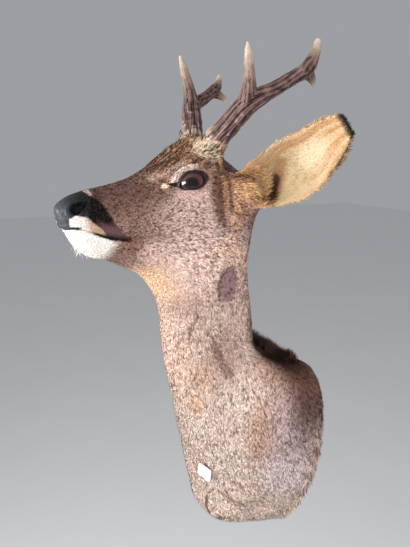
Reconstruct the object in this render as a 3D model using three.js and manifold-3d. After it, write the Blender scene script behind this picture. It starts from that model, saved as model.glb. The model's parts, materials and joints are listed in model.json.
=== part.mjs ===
// A roe buck's shoulder mount for a wall: head, neck and chest over a solid form, antlers, glass eyes, cupped ears and
// the wooden backing board that it hangs by. Millimetres, +Z up. The wall is the plane y = 0, the buck looks along -Y,
// and its left side is +X. The origin is on the wall, behind the chest.
import * as THREE from "three";
import { mergeVertices } from "three/addons/utils/BufferGeometryUtils.js";
import Module from "manifold-3d";

const wasm = await Module();
wasm.setup();

// ---- Driving dimensions ----

const GAP = 0.3; // left between pieces that touch
const FINE_CELL = 8.2; // mesh size on the head
const COARSE_CELL = 14; // mesh size on the neck and chest

// Head: t runs back from the tip of the nose, h runs up from the nose, square to t.
const NOSE_TIP = new THREE.Vector3(0, -231, 284);
const HEAD_TILT = THREE.MathUtils.degToRad(12);
const HEAD_LENGTH = 203;
const NECK_BLEND = 34; // how softly the throat and poll run into the neck

// Eyes
const EYE_RADIUS = 13.5;
const EYE = { x: 35, t: 122, h: -3.5 };

// Chest, against the wall
const CHEST_TOP = 133;
const CHEST_BOTTOM = -122;
const CHEST_HALF_WIDTH = 119;
const CHEST_WIDEST_Z = 48;

// Backing board and its hanger
const BOARD_THICKNESS = 12;
const BOARD_INSET = 19; // from the edge of the hide all round
const POCKET = { width: 56, height: 34, depth: 9, z: 74 };
const HANGER = { height: 8, thickness: 3 };

// Paper label on the chest
const LABEL = { width: 22.5, height: 13.5, thickness: 0.8, centre: [31, -88.9, -12.5], turn: [0.17, 0.07, 0.21] };

// ---- Curves and frames ----

// A smooth curve through (position, value) pairs, level beyond its ends.
function curve(...pairs) {
  const positions = pairs.map(([position]) => position);
  const values = pairs.map(([, value]) => value);
  const cubic = new THREE.CubicInterpolant(positions, values, 1, new Float32Array(1));
  const [first, last] = [positions[0], positions.at(-1)];
  return (at) => cubic.evaluate(THREE.MathUtils.clamp(at, first, last - 1e-6))[0];
}

const HEAD_BACK = new THREE.Vector3(0, Math.cos(HEAD_TILT), Math.sin(HEAD_TILT));
const HEAD_UP = new THREE.Vector3(0, -Math.sin(HEAD_TILT), Math.cos(HEAD_TILT));

function fromHead(x, t, h) {
  return NOSE_TIP.clone().addScaledVector(HEAD_BACK, t).addScaledVector(HEAD_UP, h).setX(x);
}

function smoothMin(a, b, radius) {
  const share = Math.max(radius - Math.abs(a - b), 0) / radius;
  return Math.min(a, b) - share * share * radius * 0.25;
}

function smoothMax(a, b, radius) {
  return -smoothMin(-a, -b, radius);
}

// Roughly the distance to an ellipsoid, negative inside.
function ellipsoid(dx, dy, dz, rx, ry, rz) {
  const reach = Math.hypot(dx / rx, dy / ry, dz / rz);
  return (reach - 1) * Math.min(rx, ry, rz);
}

// ---- Flesh, as fields that are negative inside ----

const headTop = curve([0, -10], [3, -1], [8, 5], [14, 8], [22, 9], [45, 9], [70, 10], [84, 13], [98, 17],
  [115, 23], [132, 29], [146, 32], [156, 27], [165, 14], [174, 0], [185, -14], [203, -30]);
const headBottom = curve([0, -28], [3, -37], [8, -45], [14, -51], [22, -54.5], [35, -61], [50, -73], [60, -80],
  [70, -86], [80, -90], [100, -94], [120, -92], [140, -84], [160, -72], [180, -57], [203, -44]);
const headHalfWidth = curve([0, 9], [3, 13.5], [8, 17.5], [14, 20], [24, 22], [40, 24], [56, 27], [72, 31], [88, 36],
  [102, 41], [118, 45], [136, 46], [155, 44], [172, 41], [190, 34], [203, 16]);
// How much wider the head is near its top (above 0) or near its jaw (below 0).
const headTopHeavy = curve([0, -0.06], [30, -0.2], [60, -0.1], [90, 0.06], [118, 0.14], [150, 0.1], [203, 0]);
const headSquareness = curve([0, 2.5], [30, 2.5], [80, 2.3], [118, 2.3], [160, 2.1], [203, 2]);

function headField(point) {
  const rel = point.clone().sub(NOSE_TIP);
  const t = rel.dot(HEAD_BACK);
  const h = rel.dot(HEAD_UP);
  const x = Math.abs(point.x);
  const at = THREE.MathUtils.clamp(t, 0, HEAD_LENGTH);
  const top = headTop(at);
  const bottom = headBottom(at);
  const middle = (top + bottom) / 2;
  const halfHeight = (top - bottom) / 2;
  const high = (h - middle) / halfHeight;
  const lean = 1 + headTopHeavy(at) * THREE.MathUtils.clamp(high, -1, 1);
  const halfWidth = headHalfWidth(at) * lean;
  const power = headSquareness(at);
  const reach = Math.pow(Math.pow(x / halfWidth, power) + Math.pow(Math.abs(high), power), 1 / power);
  const side = (reach - 1) * Math.min(halfWidth, halfHeight);
  let flesh = smoothMax(side, Math.max(-t - 1, t - HEAD_LENGTH), 5);
  // brow ridge above the eye, cheek muscle, root of the ear, and the stump that carries the antler
  flesh = smoothMin(flesh, ellipsoid(x - 34, t - 124, h - 9, 10, 21, 7), 9);
  flesh = smoothMin(flesh, ellipsoid(x - 26, t - 130, h + 48, 17, 34, 28), 16);
  flesh = smoothMin(flesh, ellipsoid(x - 43, t - 172, h + 28, 17, 16, 16), 12);
  flesh = smoothMin(flesh, ellipsoid(x - 21, t - 158, h - 23, 15, 15, 13), 10);
  // soft hollows: in front of the eye, along the side of the nose, and the slit of the eye itself
  flesh = smoothMax(flesh, -ellipsoid(x - 46, t - 99, h + 1, 8, 13, 8), 12);
  flesh = smoothMax(flesh, -ellipsoid(x - 33, t - 52, h + 6, 8, 26, 10), 12);
  flesh = smoothMax(flesh, -ellipsoid(x - 50, t - EYE.t, h - EYE.h, 8, 14, 10), 3);
  return flesh;
}

// Neck: level slices, each an oval. Values against height above the origin.
const neckFront = curve([-30, -66], [0, -83], [30, -97], [60, -107], [92, -117], [117, -121.5], [140, -124], [163, -126],
  [190, -129], [212, -128], [237, -122], [263, -116], [290, -112], [320, -105]);
const neckBack = curve([-30, 0], [60, 0], [92, -6], [117, -12], [140, -16], [163, -19], [190, -23.5], [204, -26],
  [237, -30], [263, -34], [290, -42], [320, -52]);
const neckHalfWidth = curve([-30, 48], [30, 56], [60, 58], [92, 53], [117, 47], [140, 43], [163, 41], [190, 39.5],
  [215, 39.5], [250, 42], [290, 42], [320, 34]);

function neckField(point) {
  const front = neckFront(point.z);
  const back = neckBack(point.z);
  const halfDepth = (back - front) / 2;
  const halfWidth = neckHalfWidth(point.z);
  const across = point.x / halfWidth;
  const along = (point.y - (front + back) / 2) / halfDepth;
  const side = (Math.hypot(across, along) - 1) * Math.min(halfWidth, halfDepth);
  return smoothMax(side, Math.max(-30 - point.z, point.z - 318), 14);
}

// Chest: level slices that stand on the wall. The top is broad and level, the breastbone narrow.
function chestHalfWidth(z) {
  const up = (z - CHEST_WIDEST_Z) / (CHEST_TOP - CHEST_WIDEST_Z);
  const down = (CHEST_WIDEST_Z - z) / (CHEST_WIDEST_Z - CHEST_BOTTOM);
  const share = z > CHEST_WIDEST_Z ? Math.pow(1 - Math.pow(Math.min(up, 1), 4), 1 / 4)
    : Math.pow(1 - Math.pow(Math.min(down, 1), 1.65), 1 / 1.65);
  return Math.max(CHEST_HALF_WIDTH * share, 1);
}
const chestDepth = curve([-122, 16], [-116, 36], [-105, 56], [-84, 73], [-67, 79.5], [-41, 84.5], [-11, 88], [16, 90.5],
  [40, 91], [62, 89], [85, 83], [105, 72], [120, 52], [133, 28]);

function chestField(point) {
  const halfWidth = chestHalfWidth(point.z);
  const depth = chestDepth(point.z);
  const across = Math.abs(point.x) / halfWidth;
  const along = Math.abs(point.y) / depth;
  const reach = Math.max(Math.pow(Math.pow(across, 2.1) + Math.pow(along, 2.1), 1 / 2.1), 0.01);
  const side = ((reach - 1) / reach) * Math.hypot(point.x, point.y);
  return smoothMax(side, Math.max(CHEST_BOTTOM - point.z, point.z - CHEST_TOP), 12);
}

function flesh(point) {
  const body = smoothMin(neckField(point), chestField(point), 26);
  return smoothMin(headField(point), body, NECK_BLEND);
}

// ---- From fields, lofts and boxes to solids ----

const CORNERS = [0, 1, 2, 3, 4, 5, 6, 7].map((n) => [n & 1, (n >> 1) & 1, (n >> 2) & 1]);
const CELL_EDGES = [[0, 1], [2, 3], [4, 5], [6, 7], [0, 2], [1, 3], [4, 6], [5, 7], [0, 4], [1, 5], [2, 6], [3, 7]];

function solidFromTriangles(positions, triangles) {
  return new wasm.Manifold(new wasm.Mesh({
    numProp: 3,
    vertProperties: new Float32Array(positions),
    triVerts: new Uint32Array(triangles),
  }));
}

// Moves a point that is near the surface of a field onto it, by no more than a third of a cell.
function settle(point, field, cell) {
  const here = field(point);
  const slope = new THREE.Vector3();
  for (const axis of [0, 1, 2]) {
    const beside = point.clone().setComponent(axis, point.getComponent(axis) + 0.5);
    slope.setComponent(axis, (field(beside) - here) / 0.5);
  }
  const step = slope.multiplyScalar(-here / Math.max(slope.lengthSq(), 0.05));
  point.add(step.clampLength(0, cell / 3));
}

// The region where field is negative, as a closed mesh: a vertex in each cell that the surface crosses, and a pair of
// triangles on each grid edge that it crosses.
function solidFromField(field, low, high, cell) {
  const count = new THREE.Vector3().subVectors(high, low).divideScalar(cell).ceil().addScalar(1);
  const [nx, ny, nz] = [count.x, count.y, count.z];
  const index = (i, j, k) => i + nx * (j + ny * k);
  const place = (i, j, k) => new THREE.Vector3(i, j, k).multiplyScalar(cell).add(low);
  const values = new Float64Array(nx * ny * nz);
  for (let k = 0; k < nz; k++)
    for (let j = 0; j < ny; j++)
      for (let i = 0; i < nx; i++) {
        const inside = i * j * k > 0 && i < nx - 1 && j < ny - 1 && k < nz - 1;
        values[index(i, j, k)] = inside ? field(place(i, j, k)) : Math.max(field(place(i, j, k)), cell / 2);
      }

  const positions = [];
  const vertexOf = new Map();
  for (let k = 0; k < nz - 1; k++)
    for (let j = 0; j < ny - 1; j++)
      for (let i = 0; i < nx - 1; i++) {
        const corner = CORNERS.map(([a, b, c]) => values[index(i + a, j + b, k + c)]);
        const middle = new THREE.Vector3();
        let crossings = 0;
        for (const [a, b] of CELL_EDGES) {
          if (corner[a] < 0 === corner[b] < 0) continue;
          const share = corner[a] / (corner[a] - corner[b]);
          const from = new THREE.Vector3(...CORNERS[a]);
          middle.add(from.lerp(new THREE.Vector3(...CORNERS[b]), share));
          crossings++;
        }
        if (!crossings) continue;
        const vertex = middle.divideScalar(crossings).add(new THREE.Vector3(i, j, k)).multiplyScalar(cell).add(low);
        settle(vertex, field, cell);
        vertexOf.set(index(i, j, k), positions.length / 3);
        positions.push(...vertex);
      }

  const triangles = [];
  const at = (n) => new THREE.Vector3().fromArray(positions, 3 * n);
  const addQuad = (a, b, c, d, inward) => {
    const [p, q, r, s] = inward ? [a, d, c, b] : [a, b, c, d];
    const split = at(p).distanceTo(at(r)) < at(q).distanceTo(at(s)) ? [p, q, r, p, r, s] : [p, q, s, q, r, s];
    triangles.push(...split);
  };
  for (let k = 0; k < nz - 1; k++)
    for (let j = 0; j < ny - 1; j++)
      for (let i = 0; i < nx - 1; i++) {
        const here = values[index(i, j, k)] < 0;
        const cellAt = (a, b, c) => vertexOf.get(index(i - a, j - b, k - c));
        if (j && k && here !== values[index(i + 1, j, k)] < 0)
          addQuad(cellAt(0, 1, 1), cellAt(0, 0, 1), cellAt(0, 0, 0), cellAt(0, 1, 0), !here);
        if (i && k && here !== values[index(i, j + 1, k)] < 0)
          addQuad(cellAt(1, 0, 1), cellAt(1, 0, 0), cellAt(0, 0, 0), cellAt(0, 0, 1), !here);
        if (i && j && here !== values[index(i, j, k + 1)] < 0)
          addQuad(cellAt(1, 1, 0), cellAt(0, 1, 0), cellAt(0, 0, 0), cellAt(1, 0, 0), !here);
      }
  return solidFromTriangles(positions, triangles);
}

// A closed three.js geometry, placed by a matrix, as a solid.
function solidFromGeometry(geometry, matrix = new THREE.Matrix4()) {
  const bare = geometry.clone().applyMatrix4(matrix);
  bare.deleteAttribute("normal");
  bare.deleteAttribute("uv");
  const merged = mergeVertices(bare, 1e-3);
  return solidFromTriangles(merged.attributes.position.array, merged.index.array);
}

function boxSolid(low, high) {
  const size = new THREE.Vector3().subVectors(high, low);
  const centre = new THREE.Vector3().addVectors(high, low).multiplyScalar(0.5);
  return solidFromGeometry(new THREE.BoxGeometry(...size), new THREE.Matrix4().setPosition(centre));
}

function ballSolid(centre, radius, segments = 14) {
  const ball = new THREE.SphereGeometry(radius, segments, Math.round(segments / 2));
  return solidFromGeometry(ball, new THREE.Matrix4().setPosition(centre));
}

// A loft: ringCount rings of pointCount points from pointAt(along, around), both shares from 0 to 1, with each end
// closed on its middle.
function loftSolid(ringCount, pointCount, pointAt) {
  const positions = [];
  const triangles = [];
  for (let ring = 0; ring < ringCount; ring++)
    for (let n = 0; n < pointCount; n++) positions.push(...pointAt(ring / (ringCount - 1), n / pointCount));
  for (let ring = 0; ring < ringCount - 1; ring++)
    for (let n = 0; n < pointCount; n++) {
      const next = (n + 1) % pointCount;
      const [a, b] = [ring * pointCount + n, ring * pointCount + next];
      triangles.push(a, b, b + pointCount, a, b + pointCount, a + pointCount);
    }
  for (const ring of [0, ringCount - 1]) {
    const first = ring * pointCount;
    const middle = new THREE.Vector3();
    for (let n = 0; n < pointCount; n++) middle.add(new THREE.Vector3().fromArray(positions, 3 * (first + n)));
    const hub = positions.length / 3;
    positions.push(...middle.divideScalar(pointCount));
    for (let n = 0; n < pointCount; n++) {
      const next = first + ((n + 1) % pointCount);
      triangles.push(...(ring ? [hub, first + n, next] : [hub, next, first + n]));
    }
  }
  const made = solidFromTriangles(positions, triangles);
  if (made.volume() > 0) return made;
  for (let n = 0; n < triangles.length; n += 3)
    [triangles[n + 1], triangles[n + 2]] = [triangles[n + 2], triangles[n + 1]];
  return solidFromTriangles(positions, triangles);
}

// ---- Flesh, parted into nodes by thin cuts ----

const FAR = 600;

// A big box that holds everything on the side of a plane that its normal points to.
function halfSpace(point, normal) {
  const turn = new THREE.Quaternion().setFromUnitVectors(new THREE.Vector3(0, 0, 1), normal.clone().normalize());
  const centre = point.clone().addScaledVector(normal.clone().normalize(), FAR);
  const matrix = new THREE.Matrix4().compose(centre, turn, new THREE.Vector3(1, 1, 1));
  return solidFromGeometry(new THREE.BoxGeometry(2 * FAR, 2 * FAR, 2 * FAR), matrix);
}

// What is left of a solid that grows out of the head along a direction.
function standingOnHead(solid, out) {
  return solid.subtract(headWhole).subtract(headWhole.translate(...out.clone().setLength(1.5 * GAP)));
}

// The two sides of a thin cut through a solid.
function cutInTwo(solid, point, normal) {
  const unit = normal.clone().normalize();
  const ahead = halfSpace(point.clone().addScaledVector(unit, GAP / 2), unit);
  const behind = halfSpace(point.clone().addScaledVector(unit, -GAP / 2), unit.clone().negate());
  return [solid.intersect(ahead), solid.intersect(behind)];
}

const POLL_CUT = { point: new THREE.Vector3(0, -84, 240), normal: new THREE.Vector3(0, -0.62, 0.78) };
const WITHERS_CUT = { point: new THREE.Vector3(0, -60, 112), normal: new THREE.Vector3(0, -0.34, 0.94) };

const headWhole = solidFromField(flesh, new THREE.Vector3(-80, -245, 150), new THREE.Vector3(80, 10, 350), FINE_CELL);
const bodyWhole = solidFromField(flesh, new THREE.Vector3(-132, -160, -142), new THREE.Vector3(132, 40, 310), COARSE_CELL);
const inFrontOfWall = halfSpace(new THREE.Vector3(), new THREE.Vector3(0, -1, 0));

const eyes = { left: 1, right: -1 };
const eyeCentre = (side) => fromHead(side * EYE.x, EYE.t, EYE.h);

function headParts() {
  let [head] = cutInTwo(headWhole, POLL_CUT.point, POLL_CUT.normal);
  for (const side of Object.values(eyes)) head = head.subtract(ballSolid(eyeCentre(side), EYE_RADIUS + GAP));
  // lower jaw: below the line of the mouth, back to behind the corner of the lips
  const mouthFront = fromHead(0, 0, -27);
  const mouthCorner = fromHead(0, 50, -40);
  const along = mouthCorner.clone().sub(mouthFront).normalize();
  const down = new THREE.Vector3(1, 0, 0).cross(along).multiplyScalar(-1);
  const jawEnd = fromHead(0, 58, -40);
  const jawRegion = halfSpace(mouthFront, down).intersect(halfSpace(jawEnd, HEAD_BACK.clone().negate()));
  const jawCutter = halfSpace(mouthFront.clone().addScaledVector(down, -GAP), down)
    .intersect(halfSpace(jawEnd.clone().addScaledVector(HEAD_BACK, GAP), HEAD_BACK.clone().negate()));
  const jaw = head.intersect(jawRegion);
  head = head.subtract(jawCutter);
  // bare nose pad, and the hair of the muzzle behind it
  const padMatrix = (grow) => new THREE.Matrix4()
    .makeBasis(new THREE.Vector3(1, 0, 0), HEAD_BACK, HEAD_UP)
    .scale(new THREE.Vector3(26 + grow, 25 + grow, 21 + grow))
    .setPosition(fromHead(0, -1, -3));
  const padBall = new THREE.SphereGeometry(1, 14, 10);
  const pad = head.intersect(solidFromGeometry(padBall, padMatrix(0)));
  head = head.subtract(solidFromGeometry(padBall, padMatrix(GAP)));
  return { head, lower_jaw: jaw, nose_pad: pad };
}

function boardOutline(inset) {
  const shape = new THREE.Shape();
  const steps = 22;
  const [top, bottom] = [CHEST_TOP - inset, CHEST_BOTTOM + inset];
  const edge = [];
  for (let n = 0; n <= steps; n++) {
    const z = bottom + ((top - bottom) * (1 - Math.cos((Math.PI * n) / steps))) / 2;
    edge.push([Math.max(chestHalfWidth(z) - inset, 6), z]);
  }
  edge.forEach(([halfWidth, z], n) => (n ? shape.lineTo(halfWidth, z) : shape.moveTo(halfWidth, z)));
  edge.reverse().forEach(([halfWidth, z]) => shape.lineTo(-halfWidth, z));
  shape.closePath();
  return shape;
}

// The board's outline, as thick as asked, with its back on the wall.
function boardSolid(inset, thickness) {
  const flat = new THREE.ExtrudeGeometry(boardOutline(inset), { depth: thickness, bevelEnabled: false });
  const upright = new THREE.Matrix4().makeRotationX(Math.PI / 2);
  return solidFromGeometry(flat, upright);
}

const hangerBox = (grow) => boxSolid(
  new THREE.Vector3(-POCKET.width / 2 - 6 - grow, -HANGER.thickness - grow, POCKET.z + 6 - grow),
  new THREE.Vector3(POCKET.width / 2 + 6 + grow, grow, POCKET.z + 6 + HANGER.height + grow));

function backingBoard() {
  const pocket = boxSolid(
    new THREE.Vector3(-POCKET.width / 2, -POCKET.depth, POCKET.z - POCKET.height / 2),
    new THREE.Vector3(POCKET.width / 2, 1, POCKET.z + POCKET.height / 2));
  return boardSolid(BOARD_INSET, BOARD_THICKNESS).subtract(pocket).subtract(hangerBox(GAP));
}

// The paper label lies on the tips of the coat.
function labelSolid(grow) {
  const box = new THREE.BoxGeometry(LABEL.width + 2 * grow, LABEL.thickness + 2 * grow, LABEL.height + 2 * grow);
  const place = new THREE.Matrix4().makeRotationFromEuler(new THREE.Euler(...LABEL.turn)).setPosition(...LABEL.centre);
  return solidFromGeometry(box, place);
}

function bodyParts() {
  const [aboveWithers, chest] = cutInTwo(bodyWhole, WITHERS_CUT.point, WITHERS_CUT.normal);
  const [, neck] = cutInTwo(aboveWithers, POLL_CUT.point, POLL_CUT.normal);
  const seat = boardSolid(BOARD_INSET - GAP, BOARD_THICKNESS + GAP);
  const chestFront = chest.intersect(inFrontOfWall).subtract(seat).subtract(labelSolid(GAP));
  return { neck: neck.intersect(inFrontOfWall), chest: chestFront };
}

// ---- Ears ----

const EAR = {
  root: new THREE.Vector3(45, -57, 298),
  tip: { left: new THREE.Vector3(148, -34, 359), right: new THREE.Vector3(149, -31, 347) }, // the right one droops
  opening: new THREE.Vector3(0.333, -0.914, -0.227), // the way the cup faces
  thickness: 3.6,
};
const earUpperHalf = curve([0, 15], [0.2, 19], [0.42, 20.5], [0.62, 17.5], [0.8, 13.5], [0.92, 10], [1, 4]);
const earLowerHalf = curve([0, 20], [0.2, 33], [0.42, 38], [0.62, 32.5], [0.8, 21], [0.92, 12], [1, 4]);
const earCupDepth = curve([0, 24], [0.25, 20], [0.5, 13], [0.8, 6], [1, 1.5]);

function earSolid(name, side) {
  const reach = EAR.tip[name].clone().sub(EAR.root);
  const axis = reach.clone().normalize();
  const opening = EAR.opening.clone().addScaledVector(axis, -EAR.opening.dot(axis)).normalize();
  const downward = axis.clone().cross(opening);
  const pointAt = (along, around) => {
    // out along the back of the ear and home along the inside of the cup
    const outside = around < 0.5;
    const across = outside ? 4 * around - 1 : 3 - 4 * around;
    const halfWidth = across > 0 ? earLowerHalf(along) : earUpperHalf(along);
    const edge = Math.sqrt(Math.max(1 - across * across, 0));
    const half = (EAR.thickness / 2) * (0.25 + 0.75 * edge) * (outside ? -1 : 1);
    const cup = earCupDepth(along) * (across * across - 0.75);
    const point = EAR.root.clone().addScaledVector(reach, along)
      .addScaledVector(downward, across * halfWidth * (1 - 0.18 * across * across))
      .addScaledVector(opening, cup + half);
    return point.setX(side * point.x);
  };
  return loftSolid(11, 16, pointAt);
}

function earParts() {
  const parts = {};
  for (const [name, side] of Object.entries(eyes)) {
    const out = EAR.tip[name].clone().sub(EAR.root).multiply(new THREE.Vector3(side, 1, 1));
    const pieces = standingOnHead(earSolid(name, side), out).decompose();
    pieces.sort((a, b) => b.volume() - a.volume());
    parts["ear_" + name] = pieces[0];
  }
  return parts;
}

// ---- Antlers: a pair, nearly mirrored, each parted at its forks ----

const ANTLERS = {
  left: {
    root: [18.5, -83, 340], brow: [53, -64, 378], frontTip: [64.5, -74, 430], fork: [82.5, -22, 408],
    topTip: [83, -10, 436], rearTip: [76.5, -6, 395],
  },
  right: {
    root: [-18.5, -82.5, 340], brow: [-54, -65, 381], frontTip: [-65, -75, 435], fork: [-82, -23, 402],
    topTip: [-95, -7, 423], rearTip: [-75, -5, 390],
  },
};
const ANTLER_SIDES = 7;

// A round tapering rod along a bent line; radii are in mm at even steps along it.
function hornSolid(points, radii, grow = 0) {
  const line = new THREE.CatmullRomCurve3(points);
  const rings = 2 * points.length;
  const width = curve(...radii.map((radius, n) => [n / (radii.length - 1), radius]));
  const frames = line.computeFrenetFrames(rings - 1);
  return loftSolid(rings, ANTLER_SIDES, (along, around) => {
    const ring = Math.round(along * (rings - 1));
    const angle = 2 * Math.PI * around;
    return line.getPointAt(along)
      .addScaledVector(frames.normals[ring], Math.cos(angle) * (width(along) + grow))
      .addScaledVector(frames.binormals[ring], Math.sin(angle) * (width(along) + grow));
  });
}

function antlerParts(name) {
  const at = Object.fromEntries(Object.entries(ANTLERS[name]).map(([key, xyz]) => [key, new THREE.Vector3(...xyz)]));
  const beamLine = new THREE.CatmullRomCurve3([at.root, at.root.clone().lerp(at.brow, 0.5), at.brow,
    at.brow.clone().lerp(at.fork, 0.5), at.fork]);
  const lowerPoints = [0, 0.25, 0.5].map((share) => beamLine.getPoint(share));
  const upperPoints = [0.5, 0.75, 1].map((share) => beamLine.getPoint(share));
  const lowerRadii = [13, 11.6, 10.4, 10, 10.6];
  const upperRadii = [10.6, 8.6, 7.6, 7.6, 8];
  const along = beamLine.getTangent(0.5);
  const seam = at.brow;
  const lower = (grow) => hornSolid(lowerPoints, lowerRadii, grow);
  const upper = (grow) => hornSolid(upperPoints, upperRadii, grow);
  const beamFat = lower(GAP).add(upper(GAP)).add(ballSolid(seam, 10.5 + GAP, 10));
  const [, lowerCut] = cutInTwo(lower(0).add(ballSolid(seam, 10.5, 10)), seam, along);
  const [upperCut] = cutInTwo(upper(0), seam, along);
  const bend = (from, to, side) => [from, from.clone().lerp(to, 0.5).add(side), to];
  const frontPoints = bend(at.brow, at.frontTip, new THREE.Vector3(0, -3, -3));
  const frontTine = hornSolid(frontPoints, [9, 7, 5.2, 3.6, 1.2]).subtract(beamFat);
  const topTine = hornSolid(bend(at.fork, at.topTip, new THREE.Vector3(0, 2, -2)), [7.8, 6.2, 5.4, 4.4, 2]);
  const rearTine = hornSolid(bend(at.fork, at.rearTip, new THREE.Vector3(0, 2, 0)), [7.4, 5.4, 3.8, 1.4]);
  const topFat = hornSolid(bend(at.fork, at.topTip, new THREE.Vector3(0, 2, -2)), [7.8, 6.2, 5.4, 4.4, 2], GAP);
  return {
    ["antler_" + name + "_beam_lower"]: standingOnHead(lowerCut, along),
    ["antler_" + name + "_beam_upper"]: upperCut,
    ["antler_" + name + "_front_tine"]: frontTine,
    ["antler_" + name + "_top_tine"]: topTine.subtract(upper(GAP)),
    ["antler_" + name + "_rear_tine"]: rearTine.subtract(upper(GAP)).subtract(topFat),
  };
}

// ---- Materials and assembly ----

function finish(color, roughness, metalness = 0) {
  return new THREE.MeshStandardMaterial({ color, roughness, metalness });
}
const coat = finish(0x8f7460, 0.9);
const jawHair = finish(0xe6ddd0, 0.9);
const noseSkin = finish(0x23242a, 0.45);
const earHair = finish(0xd9b98c, 0.9);
const antlerBone = finish(0x6b5246, 0.6);
const glassEye = finish(0x1c1210, 0.08);
const plywood = finish(0xb08a5a, 0.7);
const steel = finish(0x9a9a9c, 0.4, 1);
const paper = finish(0xf2f2ee, 0.8);

// The largest body of a cut solid, as a three.js mesh.
function meshOf(name, solid, material) {
  const bodies = solid.decompose().sort((a, b) => b.volume() - a.volume());
  const { vertProperties, triVerts, numProp } = bodies[0].getMesh();
  const geometry = new THREE.BufferGeometry()
    .setAttribute("position", new THREE.BufferAttribute(vertProperties.filter((_, n) => n % numProp < 3), 3))
    .setIndex(new THREE.BufferAttribute(triVerts, 1));
  geometry.computeVertexNormals();
  const mesh = new THREE.Mesh(geometry, material);
  mesh.name = name;
  return mesh;
}

const mount = new THREE.Group();
const { head, lower_jaw, nose_pad } = headParts();
const { neck, chest } = bodyParts();
mount.add(meshOf("head", head, coat), meshOf("neck", neck, coat), meshOf("chest", chest, coat));
mount.add(meshOf("lower_jaw", lower_jaw, jawHair), meshOf("nose_pad", nose_pad, noseSkin));
for (const [name, solid] of Object.entries(earParts())) mount.add(meshOf(name, solid, earHair));
for (const [name, side] of Object.entries(eyes)) {
  mount.add(meshOf("eye_" + name, ballSolid(eyeCentre(side), EYE_RADIUS), glassEye));
  for (const [node, solid] of Object.entries(antlerParts(name))) mount.add(meshOf(node, solid, antlerBone));
}
mount.add(meshOf("backing_board", backingBoard(), plywood), meshOf("hanger_bar", hangerBox(0), steel));

mount.add(meshOf("paper_label", labelSolid(0), paper));

export default mount;
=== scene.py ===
# %% [markdown]
# # A roe buck's shoulder mount
# A taxidermist stretches a tanned hide over a hard form, sets glass eyes in it, and screws the skull plate
# with the antlers on top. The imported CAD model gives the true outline, out to the tips of the coat. This
# script dresses it: one skin without seams, short fur in solid tufts, furrowed antlers, wet-looking eyes
# and a bare black nose.

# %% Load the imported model
import json
import math

import bmesh
import bpy
import numpy as np
from mathutils import Matrix, Vector, noise

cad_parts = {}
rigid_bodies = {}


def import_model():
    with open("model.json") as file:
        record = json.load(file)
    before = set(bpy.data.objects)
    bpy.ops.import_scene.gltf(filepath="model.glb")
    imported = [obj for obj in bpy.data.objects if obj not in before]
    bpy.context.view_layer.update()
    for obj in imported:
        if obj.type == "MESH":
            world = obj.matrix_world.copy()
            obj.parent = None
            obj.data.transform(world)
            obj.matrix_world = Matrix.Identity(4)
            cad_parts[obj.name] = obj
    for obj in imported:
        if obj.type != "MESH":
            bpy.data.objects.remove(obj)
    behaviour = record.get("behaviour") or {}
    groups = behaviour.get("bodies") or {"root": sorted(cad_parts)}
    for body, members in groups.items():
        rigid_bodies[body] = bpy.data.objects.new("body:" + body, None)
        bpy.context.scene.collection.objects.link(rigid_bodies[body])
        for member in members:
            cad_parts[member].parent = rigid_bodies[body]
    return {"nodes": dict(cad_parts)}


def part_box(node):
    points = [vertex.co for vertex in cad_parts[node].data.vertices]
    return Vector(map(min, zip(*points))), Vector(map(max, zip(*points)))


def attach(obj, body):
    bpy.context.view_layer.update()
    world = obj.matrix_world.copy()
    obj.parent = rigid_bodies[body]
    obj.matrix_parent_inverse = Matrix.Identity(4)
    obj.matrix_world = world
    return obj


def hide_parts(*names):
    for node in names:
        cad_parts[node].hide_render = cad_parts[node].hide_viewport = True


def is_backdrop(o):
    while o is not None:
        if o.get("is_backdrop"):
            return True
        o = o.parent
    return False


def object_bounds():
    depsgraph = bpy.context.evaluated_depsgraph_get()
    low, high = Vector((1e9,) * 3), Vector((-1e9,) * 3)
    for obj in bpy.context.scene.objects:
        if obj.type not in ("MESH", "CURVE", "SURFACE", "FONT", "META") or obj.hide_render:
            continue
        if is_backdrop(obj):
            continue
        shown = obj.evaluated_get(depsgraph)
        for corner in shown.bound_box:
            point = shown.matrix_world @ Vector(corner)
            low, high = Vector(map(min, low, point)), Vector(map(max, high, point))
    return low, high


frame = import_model()
cad_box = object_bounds()
MM = 0.001
SEED = 7
random = np.random.default_rng(SEED)
print("nodes:", ", ".join(sorted(frame["nodes"])))

# %% [markdown]
# ## Camera
# The camera stands at the buck's left front, a little above its nose, and looks back at the neck. Its place
# and its three axes are set outright, because a wall-hung head has no ground line to level it by.

# %% Camera
CAMERA_PLACE = Vector((472.6, -343.5, 339.7)) * MM
CAMERA_AXES = (
    (0.4895, 0.8718, 0.0191),  # to its right
    (-0.2157, 0.0998, 0.9713),  # up
    (0.8449, -0.4796, 0.2369),  # and back, away from the buck
)
IMAGE_LONG_SIDE = 547
FOCAL_PIXELS = 520
SENSOR_WIDTH = 36


def in_scene(name, data):
    """A new object in the scene, made of a mesh, a curve, a lamp or a camera."""
    thing = bpy.data.objects.new(name, data)
    bpy.context.scene.collection.objects.link(thing)
    return thing


camera = in_scene("camera", bpy.data.cameras.new("camera"))
camera.data.sensor_width = SENSOR_WIDTH
camera.data.lens = camera.data.sensor_width * FOCAL_PIXELS / IMAGE_LONG_SIDE
camera.matrix_world = Matrix.Translation(CAMERA_PLACE) @ Matrix(CAMERA_AXES).transposed().to_4x4()
bpy.context.scene.camera = camera
print("camera", [round(v, 3) for v in CAMERA_PLACE])

# %% [markdown]
# ## Shader helper
# Node trees are easier to read as sums. A Value wraps one output socket, and adds a Math node for each
# operator. The Shader class makes every other node through one method: settings first, then the values or
# links of its inputs.


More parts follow.
